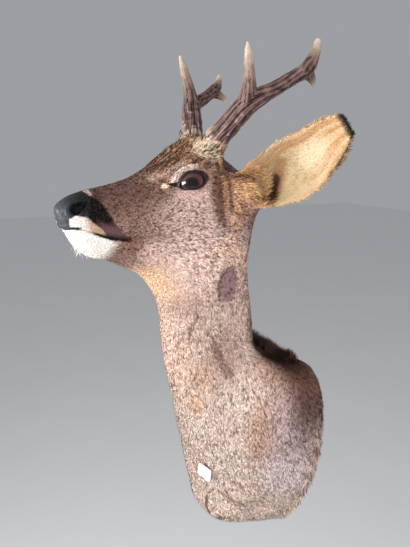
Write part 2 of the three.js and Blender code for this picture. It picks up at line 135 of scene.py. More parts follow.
# %% Shader helper
def feed(tree, socket, item):
    """Links a Value to an input, or sets the input to a number or a colour."""
    if isinstance(item, Value):
        tree.links.new(item.socket, socket)
    else:
        socket.default_value = item


class Value:
    def __init__(self, tree, socket):
        self.tree, self.socket = tree, socket

    def math(self, operation, *others):
        node = self.tree.nodes.new("ShaderNodeMath")
        node.operation = operation
        for socket, item in zip(node.inputs, (self, *others)):
            feed(self.tree, socket, item)
        return Value(self.tree, node.outputs[0])

    def constant(self, number):
        node = self.tree.nodes.new("ShaderNodeValue")
        node.outputs[0].default_value = number
        return Value(self.tree, node.outputs[0])

    def __add__(self, other): return self.math("ADD", other)
    def __sub__(self, other): return self.math("SUBTRACT", other)
    def __mul__(self, other): return self.math("MULTIPLY", other)
    def __truediv__(self, other): return self.math("DIVIDE", other)
    __radd__, __rmul__ = __add__, __mul__
    def __rsub__(self, other): return self.constant(other).math("SUBTRACT", self)

    def ramp(self, low, high):
        """0 below low and 1 above high, or the other way round, with a smooth step between."""
        node = self.tree.nodes.new("ShaderNodeMapRange")
        node.interpolation_type = "SMOOTHSTEP"
        falling = low > high
        numbers = (high, low, 1, 0) if falling else (low, high, 0, 1)
        for name, number in zip(("From Min", "From Max", "To Min", "To Max"), numbers):
            node.inputs[name].default_value = number
        self.tree.links.new(self.socket, node.inputs["Value"])
        return Value(self.tree, node.outputs["Result"])


class Shader:
    def __init__(self, name, **constants):
        self.material = bpy.data.materials.new(name)
        self.material.use_nodes = True
        self.tree = self.material.node_tree
        self.surface = self.tree.nodes["Principled BSDF"]
        for socket, number in constants.items():
            self.surface.inputs[socket.replace("_", " ")].default_value = number

    def node(self, kind, settings=None, output=0, **inputs):
        """Makes one node. An input goes by its name, or by i and its number where names repeat."""
        node = self.tree.nodes.new("ShaderNode" + kind)
        for name, setting in (settings or {}).items():
            setattr(node, name, setting)
        for name, item in inputs.items():
            key = int(name[1:]) if name[1:].isdigit() else name.replace("_", " ")
            feed(self.tree, node.inputs[key], item)
        return Value(self.tree, node.outputs[output])

    def place(self):
        return self.node("TexCoord", output="Object")

    def attribute(self, name, output="Fac"):
        return self.node("Attribute", {"attribute_name": name}, output)

    def noise(self, scale, detail=3, roughness=0.55, at=None):
        shape = dict(Scale=scale, Detail=detail, Roughness=roughness)
        return self.node("TexNoise", output="Fac", Vector=at or self.place(), **shape)

    def stretched(self, x, y, z, at=None):
        """Coordinates scaled by axis, for grain that runs one way."""
        return self.node("VectorMath", {"operation": "MULTIPLY"}, i0=at or self.place(), i1=(x, y, z))

    def mix(self, share, first, second, blend="MIX"):
        """A colour between first and second. The colour sockets of a Mix node are numbers 6 and 7."""
        first, second = (c if isinstance(c, Value) else (*c, 1) for c in (first, second))
        return self.node("Mix", {"data_type": "RGBA", "blend_type": blend}, 2, i0=share, i6=first, i7=second)

    def bump(self, height, distance, strength):
        return self.node("Bump", Height=height, Distance=distance, Strength=strength)

    def finish(self, **links):
        for socket, value in links.items():
            self.tree.links.new(value.socket, self.surface.inputs[socket.replace("_", " ")])
        return self.material


def shade_smooth(mesh):
    mesh.polygons.foreach_set("use_smooth", np.ones(len(mesh.polygons), bool))


def triangle_count(mesh):
    return sum(len(face.vertices) - 2 for face in mesh.polygons)


def add_piece(mesh, name, material, slot, *replaced):
    """Puts a finished mesh in the scene as a piece of the object."""
    piece = in_scene(name, mesh)
    mesh.materials.clear()
    mesh.materials.append(material)
    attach(piece, "root")
    if replaced:
        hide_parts(*replaced)
    return piece


def baked(piece):
    """The mesh of an object with its modifiers applied."""
    seen = piece.evaluated_get(bpy.context.evaluated_depsgraph_get())
    return bpy.data.meshes.new_from_object(seen)


def finished(work, name):
    """Turns a bmesh into a mesh, and frees it."""
    mesh = bpy.data.meshes.new(name)
    work.to_mesh(mesh)
    work.free()
    return mesh


# %% [markdown]
# ## The shape of the head, in numbers
# Marks and folds on the head are placed by how far back from the tip of the nose they are, and how far up
# from there. Everything below works on arrays of points in millimetres, so one call shapes or paints a
# whole mesh.

# %% Places on the buck, in millimetres
NOSE_TIP = np.array((0, -231, 284))
HEAD_TILT = math.radians(12)
HEAD_BACK = np.array((0, math.cos(HEAD_TILT), math.sin(HEAD_TILT)))
HEAD_UP = np.array((0, -math.sin(HEAD_TILT), math.cos(HEAD_TILT)))


def smooth(low, high, values):
    share = np.clip((values - low) / (high - low), 0, 1)
    return share * share * (3 - 2 * share)


def unit(vectors):
    return vectors / np.maximum(np.linalg.norm(vectors, axis=-1, keepdims=True), 1e-9)


def side_signs(points):
    """What turns a place on the buck's left into the same place on the side of each point, or back."""
    return np.where(points[:, :1] < 0, (-1, 1, 1), (1, 1, 1))


def mirrored(points):
    """The same points, all on the buck's left."""
    return points * side_signs(points)


def bell(values, middle, width):
    """1 at middle, falling to nothing a few widths away on both sides."""
    return np.exp(-(((values - middle) / width) ** 2))


def blob(points, centre, radii, soft=0.35):
    """1 inside an ellipsoid, fading to 0 over its soft edge."""
    reach = np.linalg.norm((points - np.array(centre)) / np.array(radii), axis=1)
    return 1 - smooth(1 - soft, 1 + soft, reach)


def line_distance(points, corners):
    """How far each point is from a bent line, and how far along it the nearest spot is, from 0 to 1."""
    corners = np.array(corners, float)
    steps = np.diff(corners, axis=0)
    lengths = np.linalg.norm(steps, axis=1)
    best = np.full(len(points), np.inf)
    where = np.zeros(len(points))
    for start, step, length, before in zip(corners, steps, lengths, np.cumsum(lengths) - lengths):
        share = np.clip((points - start) @ step / length**2, 0, 1)
        away = np.linalg.norm(points - start - share[:, None] * step, axis=1)
        closer = away < best
        best = np.where(closer, away, best)
        where = np.where(closer, (before + share * length) / lengths.sum(), where)
    return best, where


# %% [markdown]
# ## One skin for the whole hide
# The real hide is one piece, so the flesh nodes are joined and remeshed as one closed surface, and smoothed
# until their facets are gone. The ears are thin, and would melt away in that smoothing. They are made next
# and joined after.

# %% Join the flesh nodes
FLESH = ("head", "lower_jaw", "nose_pad", "neck", "chest", "ear_left", "ear_right")
BODY_VOXEL = 2.0 * MM
BODY_PASSES = 9  # of smoothing
OVERLAP = 0.3 * MM  # each node grows by this, so that the thin cuts between them close
WELD = 0.02 * MM


def flesh_mesh():
    joined = bmesh.new()
    for name in FLESH[:5] + ("eye_left", "eye_right"):
        joined.from_mesh(frame["nodes"][name].data)
    bmesh.ops.remove_doubles(joined, verts=joined.verts, dist=WELD)
    joined.normal_update()
    for vertex in joined.verts:
        vertex.co += vertex.normal * OVERLAP
    return finished(joined, "flesh")


def remeshed(mesh, voxel, passes):
    """One closed surface of even faces, smoothed in so many passes."""
    holder = in_scene("holder", mesh)
    remesh = holder.modifiers.new("remesh", "REMESH")
    remesh.mode = "VOXEL"
    remesh.voxel_size = voxel
    soften = holder.modifiers.new("soften", "SMOOTH")
    soften.factor = 0.5
    soften.iterations = passes
    result = baked(holder)
    bpy.data.objects.remove(holder)
    return result


body_mesh = remeshed(flesh_mesh(), BODY_VOXEL, BODY_PASSES)
print("body:", len(body_mesh.polygons), "faces")

# %% [markdown]
# ## Ears
# A roe deer's ear is a leaf rolled into a funnel at its root. A flat grid bends into that shape by a rule:
# its middle line sinks back, its edges come forward, and near the root they roll in further. Solidify gives
# it thickness.

# %% Ears
EAR_ROOT = np.array((45, -57, 298))
EAR_TIPS = {"left": (153, -33, 361), "right": (152, -30, 349)}
EAR_OPENING = np.array((0.333, -0.914, -0.227))  # the way the cup faces
EAR_STEPS = (0, 0.2, 0.42, 0.62, 0.8, 0.92, 1)
EAR_UPPER_HALF = (21, 25, 25.5, 22, 17.5, 14.5, 9)
EAR_LOWER_HALF = (24, 36, 42.5, 38, 27.5, 18.5, 9)
EAR_CUP = (26, 22, 14, 9, 5, 3, 1)
EAR_THICKNESS = 2.4
EAR_BEHIND = 0.12  # the share of its length that runs back into the head
EAR_FLATNESS = 0.75  # where across the leaf the cup neither sinks nor rises


def ear_mesh(side):
    reach = np.array(EAR_TIPS[side]) - EAR_ROOT
    opening = unit(EAR_OPENING - unit(reach) * (EAR_OPENING @ unit(reach)))
    downward = np.cross(unit(reach), opening)
    leaf = bmesh.new()
    bmesh.ops.create_grid(leaf, x_segments=46, y_segments=30, size=1)
    for vertex in leaf.verts:
        along = (1 + EAR_BEHIND) * (vertex.co.x + 1) / 2 - EAR_BEHIND
        across = vertex.co.y
        at = max(along, 0)
        half = np.interp(at, EAR_STEPS, EAR_LOWER_HALF if across > 0 else EAR_UPPER_HALF)
        cup = np.interp(at, EAR_STEPS, EAR_CUP)
        ripple = 0.8 * math.sin(9 * along + 2 * across) * abs(across) ** 3
        point = EAR_ROOT + reach * along
        point = point + downward * across * half * (1 - 0.2 * across**2 * (1 - at))
        point = point + opening * (cup * (across**2 - EAR_FLATNESS) + ripple)
        if side == "right":
            point = point * (-1, 1, 1)
        vertex.co = point * MM
    if side == "left":
        bmesh.ops.reverse_faces(leaf, faces=leaf.faces)
    bmesh.ops.recalc_face_normals(leaf, faces=leaf.faces)
    bmesh.ops.solidify(leaf, geom=leaf.faces[:], thickness=EAR_THICKNESS * MM)
    axes = dict(use_axis_x=True, use_axis_y=True, use_axis_z=True)
    for _ in range(2):
        bmesh.ops.smooth_vert(leaf, verts=leaf.verts, factor=0.5, **axes)
    return finished(leaf, "ear_" + side)


# %% Join body and ears
SKIN_VOXEL = 1.9 * MM
SKIN_PASSES = 3

whole = bmesh.new()
for mesh in (body_mesh, ear_mesh("left"), ear_mesh("right")):
    whole.from_mesh(mesh)
skin_mesh = remeshed(finished(whole, "joined"), SKIN_VOXEL, SKIN_PASSES)
print("skin:", len(skin_mesh.polygons), "faces")

# %% [markdown]
# ## Folding and hollowing the skin
# Taxidermists press the wet hide into the form: round the glass eyes, into the nostrils and along the lips.
# The same is done here by moving vertices. The faces where that happens are divided first, so the folds
# come out sharp.

# %% Reading, moving and dividing a mesh
TO_SLIT = np.array((-0.43, -0.895, -0.133))  # from the eye's back corner to its front one
EYE_CENTRE = np.array((35, -110.9, 305.9))
EYE_RADIUS = 13.5
EYE_OUT = unit(np.array((0.86, -0.45, 0.23)))
EYE_SLIT = unit(TO_SLIT - EYE_OUT * (TO_SLIT @ EYE_OUT))
EYE_UP = np.cross(EYE_SLIT, EYE_OUT)


def points_of(mesh):
    flat = np.empty(len(mesh.vertices) * 3)
    mesh.vertices.foreach_get("co", flat)
    return flat.reshape(-1, 3) / MM


def normals_of(mesh):
    flat = np.empty(len(mesh.vertices) * 3)
    mesh.vertex_normals.foreach_get("vector", flat)
    return flat.reshape(-1, 3)


def move_to(mesh, points):
    mesh.vertices.foreach_set("co", (points * MM).ravel())
    mesh.update()


def divide(mesh, wanted):
    """Cuts in half every edge whose two ends are wanted."""
    work = bmesh.new()
    work.from_mesh(mesh)
    edges = [edge for edge in work.edges if all(wanted[end.index] for end in edge.verts)]
    bmesh.ops.subdivide_edges(work, edges=edges, cuts=1, use_grid_fill=True)
    work.to_mesh(mesh)
    work.free()


def eye_frame(points):
    """Places by an eye: forward along the slit, up, and out from the middle of the ball."""
    away = mirrored(points) - EYE_CENTRE
    return away @ EYE_SLIT, away @ EYE_UP, away @ EYE_OUT


def head_frame(points):
    away = points - NOSE_TIP
    return away @ HEAD_BACK, away @ HEAD_UP


def near_features(points, eye_reach, nose_reach):
    """Whether each point is near an eye or on the muzzle."""
    forward, up, out = eye_frame(points)
    back, height = head_frame(points)
    near_eye = (np.hypot(forward, up) < eye_reach) & (out > -4)
    return near_eye | ((back < nose_reach) & (height > -70))


for reaches in ((27, 60), (22, 38)):  # around the eyes and back from the nose
    divide(skin_mesh, near_features(points_of(skin_mesh), *reaches))
print("skin with finer eyes and nose:", len(skin_mesh.vertices), "vertices")

# %% Depth of the coat
# The CAD model reaches to the tips of the hair, so the skin lies deeper by the length that the coat stands
# up.
MOUTH_BACK = (0, 6, 12.6, 20.3, 28.2, 36.6, 52.5)  # the lip line: how far back it is, and how far up
MOUTH_UP = (-20.3, -19.3, -21, -25.6, -30.8, -36, -42)
BARE_DEPTH = 0.2
EAR_DEPTH = 0.3
DARK_BACK = (52.6, 48.7, 44, 42.1, 38.7, 33.9, 29.3, 26.5)  # the black muzzle's back edge, from the lip up
DARK_BACK_UP = (-42, -35, -25, -16, -6, 1, 5, 9)
DARK_UNDER_BACK = (0, 4, 6, 12, 17, 21, 25, 30, 33, 38, 53)  # the lower edge of the black muzzle
DARK_UNDER = (-21, -20, -10, -8.5, -10.5, -12.4, -19.3, -24.7, -30.2, -36.5, -43)


def ear_share(points):
    """1 on an ear and 0 on the head, with a short blend at the ear's root."""
    one = mirrored(points)
    along = (one - EAR_ROOT) @ unit(np.array(EAR_TIPS["left"]) - EAR_ROOT)
    return smooth(4, 16, along) * (one[:, 2] > 262) * (one[:, 1] > -88)


def head_share(points):
    back, up = head_frame(points)
    return smooth(-140, -85, up) * smooth(230, 170, back)


def above_lip(back, up):
    """How high above the line of the mouth a place on the head is."""
    return up - np.interp(back, MOUTH_BACK, MOUTH_UP)


def coat_depth(points):
    body = 1.5 * smooth(0, -10, points[:, 1]) + BARE_DEPTH
    face = 0.3 + 0.6 * smooth(25, 110, head_frame(points)[0])
    depth = body + (face - body) * head_share(points)
    depth = np.where(nose_share(points) > 0.5, BARE_DEPTH, depth)
    ear = ear_share(points)
    return depth * (1 - ear) + EAR_DEPTH * ear


def muzzle_frame(points):
    """How far back and up each point is, and where the black muzzle's lower and back edges are there."""
    back, up = head_frame(points)
    return back, up, np.interp(back, DARK_UNDER_BACK, DARK_UNDER), np.interp(up, DARK_BACK_UP, DARK_BACK)


def nose_share(points):
    """The bare, moist skin of the nose."""
    back, up, under, edge = muzzle_frame(points)
    edge = np.minimum(edge, 27 + 0.35 * up)
    return smooth(1.2, -1.2, back - edge) * smooth(-0.8, 0.8, up - under) * (1 - right_lip_share(points))


def right_lip_share(points):
    """The pale upper lip comes further forward on the buck's right, and shows past the front of the nose."""
    up = head_frame(points)[1]
    return smooth(-2.0, -3.6, points[:, 0]) * smooth(-11.0, -12.5, up) * (up > -21)


def muzzle_dark_share(points):
    """The bare nose, and the band of black hair behind it down to the corner of the mouth."""
    back, up, under, edge = muzzle_frame(points)
    share = smooth(1.5, -1.5, back - edge) * smooth(-1.2, 1.2, up - under) * (np.abs(points[:, 0]) < 40)
    return share * (1 - right_lip_share(points) * smooth(12, 6, back))


spots = points_of(skin_mesh)
spots -= normals_of(skin_mesh) * coat_depth(spots)[:, None]
move_to(skin_mesh, spots)

# %% Eyelids, nostrils and lips
NOSTRIL = np.array((15.9, -214.6, 286.0))
NOSTRIL_LONG = unit(np.array((0, 16.1, 10.5)))
NOSTRIL_WIDE = unit(np.array((0.436, 0.489, -0.755)))
LID_LENGTH = 11.8
LID_UPPER = 8.1
LID_LOWER = 7.3
FAR_OFF = 9  # a reach that is well outside
MUZZLE_LENGTH = 56  # how far back the mouth runs


def eye_opening(points):
    """Below 1 inside the slit between the lids and 1 on its edge."""
    forward, up, out = eye_frame(points)
    droop = up + 1.6 * smooth(3, 12, forward) - 0.8 * smooth(-4, -12, forward)
    lid = np.where(droop > 0, LID_UPPER, LID_LOWER)
    reach = (np.abs(forward / LID_LENGTH) ** 1.8 + np.abs(droop / lid) ** 1.8) ** (1 / 1.8)
    return np.where(out > -3, reach, FAR_OFF)


def tear_line(points):
    """How near each point is to the dark slit in front of the eye, from 0 to 1."""
    forward, up, out = eye_frame(points)
    width = np.interp(forward, (9, 12, 17, 22.5, 24), (3, 2.6, 1.8, 1.0, 0.1))
    middle = -1.4 + 0.16 * (forward - 11)
    inside = (forward > 8.5) & (forward < 24) & (out > -6)
    return np.where(inside, 1 - smooth(0.4, 1.5, np.abs(up - middle) / width), 0)


def nostril_reach(points):
    """Below 1 inside a nostril and 1 on its edge."""
    away = mirrored(points) - NOSTRIL
    along, across = away @ NOSTRIL_LONG, away @ NOSTRIL_WIDE
    wide = 5.2 * (1 - 0.04 * along)
    reach = np.hypot(along / 9.6, (across - 0.01 * along**2) / wide)
    return np.where(np.linalg.norm(away, axis=1) < 20, reach, FAR_OFF)


def pull_muzzle(points):
    """The nose comes forward above the lip, and the lip's front goes back."""
    back, up = head_frame(points)
    forward_by = 2.4 * smooth(-20, -9, up) + 3.0 * bell(up, 1, 7)
    points = points - HEAD_BACK * (forward_by * smooth(16, 2, back))[:, None]
    return points + HEAD_BACK * (3.2 * smooth(26, 6, back) * smooth(-17, -26, up))[:, None]


def fold_lids(points, normals):
    opening = eye_opening(points)
    forward, up, out = eye_frame(points)
    flat = np.minimum(np.hypot(forward, up), EYE_RADIUS - 1.6)
    ball = np.sqrt(EYE_RADIUS**2 - flat**2)
    lid = ball + 1.5 + (out - ball - 1.5) * smooth(1.1, 2.0, opening)
    lid -= 0.9 * bell(opening, 1.42, 0.1) * (up > -3)
    lid = np.where(opening < 1.02, ball - 3.2 + 4.7 * smooth(0.92, 1.02, opening), lid)
    share = smooth(2.4, 1.9, opening)
    outward = side_signs(points) * EYE_OUT
    points = points + outward * ((lid - out) * share)[:, None]
    return points - normals * (2.2 * tear_line(points) * smooth(1.0, 1.3, opening))[:, None]


def fold_lips(points, normals):
    """Hollows the nostrils, draws the mouth's line and cleaves the upper lip."""
    hole = nostril_reach(points)
    depth = 6.5 * (1 - smooth(0.45, 1.02, hole)) - 0.8 * bell(hole, 1.22, 0.16)
    points = points - normals * depth[:, None]
    back, up = head_frame(points)
    lip = above_lip(back, up)
    shut = smooth(MUZZLE_LENGTH, 48, back) * (np.abs(points[:, 0]) < 34)
    points = points - normals * (1.7 * bell(lip, 0, 1.1) * shut)[:, None]
    points = points + normals * (0.7 * bell(lip, 3.2, 1.8) * shut)[:, None]
    cleft = bell(points[:, 0], 0, 1.0) * smooth(9, 5, back) * (lip > 0)
    return points - normals * (1.2 * cleft)[:, None]


normals = normals_of(skin_mesh)
spots = fold_lids(pull_muzzle(points_of(skin_mesh)), normals)
move_to(skin_mesh, fold_lips(spots, normals))

# %% Folds of the body
BALD_PATCH = (39.8, -68.2, 203.2)


def bald_share(points):
    """The worn, hairless patch on the buck's left side, below the jaw."""
    rough = 0.08 * np.sin(points[:, 2] * 0.9) + 0.06 * np.sin(points[:, 1] * 1.3)
    away = points - np.array(BALD_PATCH)
    reach = np.hypot(np.hypot(away[:, 1] * 1.15, away[:, 0]) / 15.5, away[:, 2] / 20.5) + rough
    return smooth(1.15, 0.85, reach) * (points[:, 0] > 0)


BODY_PUSHES = (  # middle and radii of each place on the left side, and how far its skin moves, in mm
    ((37, -64, 323), (18, 20, 17), (-7.5, -12.5, -1.6)),  # the hollow behind the antler
    ((24, -8, 138), (54, 26, 24), (0.0, 2.0, -14.0)),  # where the neck meets the withers
    ((0, -120, 175), (40, 26, 65), (0.0, -1.5, 0.0)),  # the throat
    ((35, -40, -126), (110, 80, 42), (0.0, 0.0, 9.5)),  # the lower edge is blunt
    ((15, -70, -90), (44, 26, 24), (0.0, -3.2, 0.0)),  # and full in front
    ((77, -48, -52), (11, 14, 16), (-1.0, 3.0, 6.0)),  # the notch beside the flap at the lower edge
)


def fold_body(points, normals):
    side = side_signs(points)
    moved = points - normals * (1.2 * bald_share(points))[:, None]
    for middle, radii, push in BODY_PUSHES:
        share = blob(mirrored(points), middle, radii, 0.6) * (1 - ear_share(points))
        off_wall = smooth(0, -9, points[:, 1])[:, None] * (1, 1, 0) + (0, 0, 1)
        moved = moved + np.array(push) * side * off_wall * share[:, None]
    flap = blob(mirrored(points), (30, -60, -92), (34, 30, 18), 0.4)
    x, z = points[:, 0], points[:, 2]
    wave = np.sin(x * 0.32 + z * 0.5 + 1) * 0.7 + np.sin(x * 0.11 - 1) * 0.9
    return moved + normals * (flap * wave)[:, None]


spots = fold_body(points_of(skin_mesh), normals_of(skin_mesh))
move_to(skin_mesh, spots)
print("skin box, mm:", spots.min(0).round(1), spots.max(0).round(1))

# %% [markdown]
# ## Markings
# A roe buck in winter is grey-brown all over, yet no two places have quite the same tone. Each mark below
# is a colour laid softly over the ones before it, in a place measured on the buck. The skin and every tuft
# of hair take their colour from this one function, so that the hair never shows a different pattern from
# what lies under it.


# %% Colours of the hide
def tone(colour):
    """A colour given in 0 to 255 as a screen shows it, as the reflectance that a shader wants."""
    share = np.array(colour) / 255
    return np.where(share <= 0.04045, share / 12.92, ((share + 0.055) / 1.055) ** 2.4)


def stroke(points, corners, width):
    """1 along a bent line, fading to 0 at its width."""
    return smooth(width, 0.45 * width, line_distance(points, corners)[0])


def laid(points, marks, within=1.0):
    """The rows of a table: a colour and its strength, then a spot's middle, radii and softness, or a stroke's
    corners and width."""
    for colour, strength, *shape in marks:
        share = (stroke if isinstance(shape[0][0], tuple) else blob)(points, *shape)
        yield colour, strength * within * share


# %% Marks on the neck and the chest
SHOULDER_SPOTS = (
    ((188, 168, 168), 0.85, (108, -34, 44), (34, 42, 62), 0.5),
    ((206, 191, 182), 0.7, (56, -84, 40), (34, 40, 62), 0.5),
    ((220, 208, 208), 0.7, (108, -34, 8), (24, 30, 26), 0.6),
    ((184, 150, 128), 0.7, (89, -60, 60), (12, 16, 34), 0.6),
    ((214, 176, 150), 0.5, (38, -97, 105), (9, 10, 17), 0.5),
    ((218, 178, 148), 0.55, (32, -102, 76), (10, 10, 13), 0.5),
)
LEFT_NECK = (((180, 146, 134), 0.6, (43, -78, 122), (16, 20, 34), 0.6),)
# painted shade: dark lines where folds of the hide run down the left side of the neck
LEFT_CREASE_SHADES = (
    ((120, 92, 84), 0.8, ((35, -105, 193), (34, -102, 170), (30, -108, 162), (29, -110, 144)), 2.2),
    ((140, 108, 98), 0.6, ((41, -86, 142), (44, -80, 125), (49, -73, 112)), 7),
)
WITHERS_AND_BASE = (
    ((38, 22, 16), 0.95, (44, -16, 126), (58, 17, 20), 0.4),
    ((122, 74, 44), 0.9, (38, -4, 130), (34, 7, 13), 0.4),
    ((226, 208, 196), 0.9, (48, -68, -58), (25, 18, 14), 0.3),
    ((78, 56, 44), 0.85, ((22, -80, -50), (17, -77, -66), (21, -73, -78), (52, -56, -74)), 3.2),
    ((92, 66, 52), 0.75, ((40, -80, -30), (52, -73, -35), (66, -62, -39), (78, -52, -45)), 3.0),
)


def body_marks(points):
    one = mirrored(points)
    x, y, z = one.T
    yield (209, 190, 179), np.ones(len(points))
    yield (220, 190, 180), 0.8 * smooth(-84, -50, y) * smooth(110, 150, z)
    yield from laid(points, LEFT_NECK)
    yield (216, 190, 176), 0.9 * smooth(-76, -108, y) * smooth(40, 110, z)
    yield (132, 96, 78), 0.85 * smooth(-46, -18, y) * smooth(120, 160, z) * smooth(262, 230, z)
    rear = smooth(-66, -30, y) * smooth(40, 60, x)
    yield (164, 130, 116), 0.85 * rear * smooth(70, 112, z) * smooth(150, 128, z)
    yield from laid(one, SHOULDER_SPOTS)
    # painted shade of the folds on the neck
    yield from laid(points, LEFT_CREASE_SHADES)
    rear = smooth(-46, -20, y) * smooth(30, 60, x)
    yield (90, 62, 52), 0.9 * rear * smooth(30, 90, z) * smooth(150, 130, z)
    yield (176, 138, 108), 0.5 * smooth(-14, -5, y) * smooth(70, 40, z) * smooth(60, 80, x)
    yield from laid(one, WITHERS_AND_BASE)


# %% Marks on the head
TOP_BACK = (0, 22, 70, 84, 98, 115, 132, 146, 165, 185, 203)  # the top line of the head
TOP_UP = (-8, 9, 10, 13, 17, 23, 29, 32, 14, -14, -30)
CHEEK = (((204, 178, 172), 0.85, (46, -112, 272), (26, 36, 30), 0.6),)
THROAT = (((244, 208, 176), 1.0, (10, -138, 208), (30, 34, 26), 0.5),)
JAW = (((244, 218, 208), 0.85, (40, -106, 222), (20, 34, 26), 0.6),)
CHEEK_SPOTS = (
    ((128, 94, 76), 0.7, (27, -166, 248), (9, 9, 9), 0.6),
    ((232, 204, 194), 0.6, (32, -146, 240), (16, 16, 12), 0.6),
)
BROW = (
    ((74, 52, 42), 0.7, ((6, -146, 316), (10, -137, 321), (20, -125, 327), (25, -115, 333)), 5),
    ((184, 156, 138), 0.7, ((19, -146, 311), (25, -138, 315), (32, -130, 319), (37, -120, 324)), 6.5),
)
CROWN_AND_EAR_ROOT = (
    ((238, 214, 186), 0.9, (30, -138, 303.5), (3, 3.4, 3)),
    ((150, 114, 88), 0.7, (24, -106, 338), (22, 20, 12)),
    ((196, 168, 134), 0.7, (6, -94, 345), (18, 13, 9)),
    ((212, 192, 170), 0.85, (31, -93, 337), (18, 16, 15)),
    ((176, 106, 86), 0.95, (40, -76, 333), (7, 9, 10)),
    ((192, 150, 130), 0.75, (57, -66, 285), (10, 13, 30)),
    ((122, 90, 76), 0.7, (53, -90, 298), (9, 10, 24)),
    ((112, 80, 62), 0.85, ((49, -88, 321), (52, -78, 313), (50, -64, 311), (46, -54, 313)), 8),
    ((124, 90, 72), 0.8, ((51, -96, 314), (53, -93, 296), (52, -90, 272)), 5),
    ((196, 152, 112), 0.6, ((51, -86, 312), (54, -84, 292), (52.5, -78, 262)), 3.6),
    ((96, 68, 56), 0.7, ((49, -93, 312), (53, -90, 290), (51, -84, 266)), 3.4),
    ((96, 68, 52), 0.85, ((51, -80, 311), (54.5, -79, 280)), 3.0),
    ((206, 162, 122), 0.6, ((52, -75, 308), (57, -73, 285), (52, -67, 262)), 6.0),
    ((112, 76, 58), 0.5, ((53, -70, 306), (58, -68, 284), (53, -62, 264)), 2.4),
)
NOSE_BRIDGE = (((206, 186, 176), 0.8, (8, -207, 298), (9, 6, 5), 0.5),)
EYE_POUCH = (((200, 176, 166), 0.75, (2, -12, 0), (15, 6.5, 9), 0.6),)  # in the eye's own frame


def head_marks(points):
    one = mirrored(points)
    back, up = head_frame(points)
    head = head_share(points)
    under_top = np.interp(back, TOP_BACK, TOP_UP) - up
    yield (146, 116, 106), head
    yield (206, 178, 172), 0.85 * head * smooth(52, 74, under_top) * smooth(40, 70, back)
    yield from laid(one, CHEEK)
    yield (244, 210, 188), 0.9 * head * smooth(80, 100, under_top) * smooth(20, 45, back)
    yield from laid(one, THROAT, head)
    yield from laid(one, JAW)
    dark_top = 0.9 * head * smooth(24, 8, under_top) * smooth(24, 34, back) * smooth(185, 160, back)
    yield (64, 46, 40), dark_top
    yield (104, 80, 68), dark_top * smooth(62, 84, back)
    stripe = np.sin(0.85 * points[:, 0] + 0.12 * back + 1.4 * np.sin(0.13 * back + 1))
    on_brow = head * smooth(26, 14, under_top) * smooth(70, 88, back) * smooth(150, 135, back)
    yield (176, 136, 96), 0.65 * on_brow * smooth(0.1, 0.9, stripe)
    yield (58, 36, 28), 0.7 * on_brow * smooth(-0.3, -0.95, stripe)
    bridge = smooth(40, 16, under_top) * smooth(34, 44, back) * smooth(112, 92, back)
    yield (112, 86, 78), 0.75 * head * bridge
    yield from laid(one, CHEEK_SPOTS, head)
    forward, over, out = eye_frame(points)
    eyes = out > -8
    yield from laid(np.c_[forward, over, over * 0], EYE_POUCH, eyes)
    yield from laid(one, BROW)
    reach = eye_opening(points)
    # painted shade: a dark band in the crease above the upper lid
    lid_crease_shade = eyes * smooth(-1, 3, over) * smooth(2.16, 2.06, reach)
    yield (74, 54, 48), 0.75 * lid_crease_shade * smooth(20, 16, forward) * smooth(-4, 2, forward)
    pale_lid = eyes * smooth(0, 3, over) * smooth(2.02, 1.9, reach) * smooth(-9, -2, forward)
    yield (232, 214, 204), 0.9 * pale_lid
    yield from laid(one, CROWN_AND_EAR_ROOT)
    yield from laid(one, NOSE_BRIDGE, head)


# %% Marks on the muzzle, the lids and the worn patch
PATCH_EDGE = (((92, 64, 62), 0.7, ((42, -72, 222), (41, -80, 214), (40, -83, 204), (38, -80, 192)), 2.6),)


def bare_marks(points):
    back, up, under, _ = muzzle_frame(points)
    lip = above_lip(back, up)
    dark, nose = muzzle_dark_share(points), nose_share(points)
    mouth = smooth(MUZZLE_LENGTH, 52, back)
    yield (14, 8, 8), dark
    yield (112, 84, 90), 0.9 * dark * smooth(26, 34, back) * smooth(17, 9, lip) * smooth(1, 3, lip)
    pale = smooth(-0.8, 0.8, -lip) * smooth(5, -7, back - 43 - 0.6 * lip) * smooth(-37, -31, lip)
    yield (250, 246, 240), pale * (np.abs(points[:, 0]) < 40)
    patch = smooth(-0.4, 0.8, lip) * smooth(0.6, -0.6, up - under)
    patch = patch * smooth(34, 30, back) * smooth(4, 5.5, back)
    yield (250, 244, 240), np.maximum(patch, right_lip_share(points) * smooth(12, 6, back) * (lip > 0))
    yield (206, 172, 146), patch * smooth(15, 24, back)
    yield (58, 38, 44), smooth(6, 2, lip) * (lip > 0) * mouth * smooth(27, 34, back)
    yield (20, 12, 14), smooth(2.2, 0.9, np.abs(lip)) * mouth * smooth(19, 26, back)
    yield (24, 20, 24), smooth(2.0, 1.0, np.abs(lip - 0.4)) * smooth(15, 11, back)
    yield (30, 30, 35), nose
    # painted reflection: a blue-grey sheen on the front of the moist nose
    yield (62, 66, 75), 0.7 * nose * smooth(14, 3, back)
    yield (14, 10, 10), nose * smooth(15, 24, back)
    forward, over, out = eye_frame(points)
    lid_dark = 1.16 + 0.16 * smooth(-2, 5, over) + 0.08 * smooth(2, -8, forward)
    yield (36, 26, 30), (out > -8) * smooth(0.06, -0.06, eye_opening(points) - lid_dark)
    yield (34, 27, 27), (out > -8) * smooth(0.1, 0.5, tear_line(points))
    yield (14, 12, 13), smooth(1.05, 0.85, nostril_reach(points))
    yield (148, 114, 114), bald_share(points)
    yield from laid(points, PATCH_EDGE)


# %% Marks on the ears
EAR_LENGTH = 118
EAR_HALF_WIDTH = 36
# painted shade: a soft brown band and a dark slit stand for the shaded hollow at the ear's root
EAR_HOLLOW_SHADES = (  # in mm along and across the open ear
    ((140, 100, 70), 0.8, 11, 4, ((42, -6, 0), (29, 5, 0), (18, 20, 0))),
    ((60, 34, 20), 1.0, 6.5, 2.5, ((28, 5, 0), (21, 12, 0), (16, 20, 0))),
)


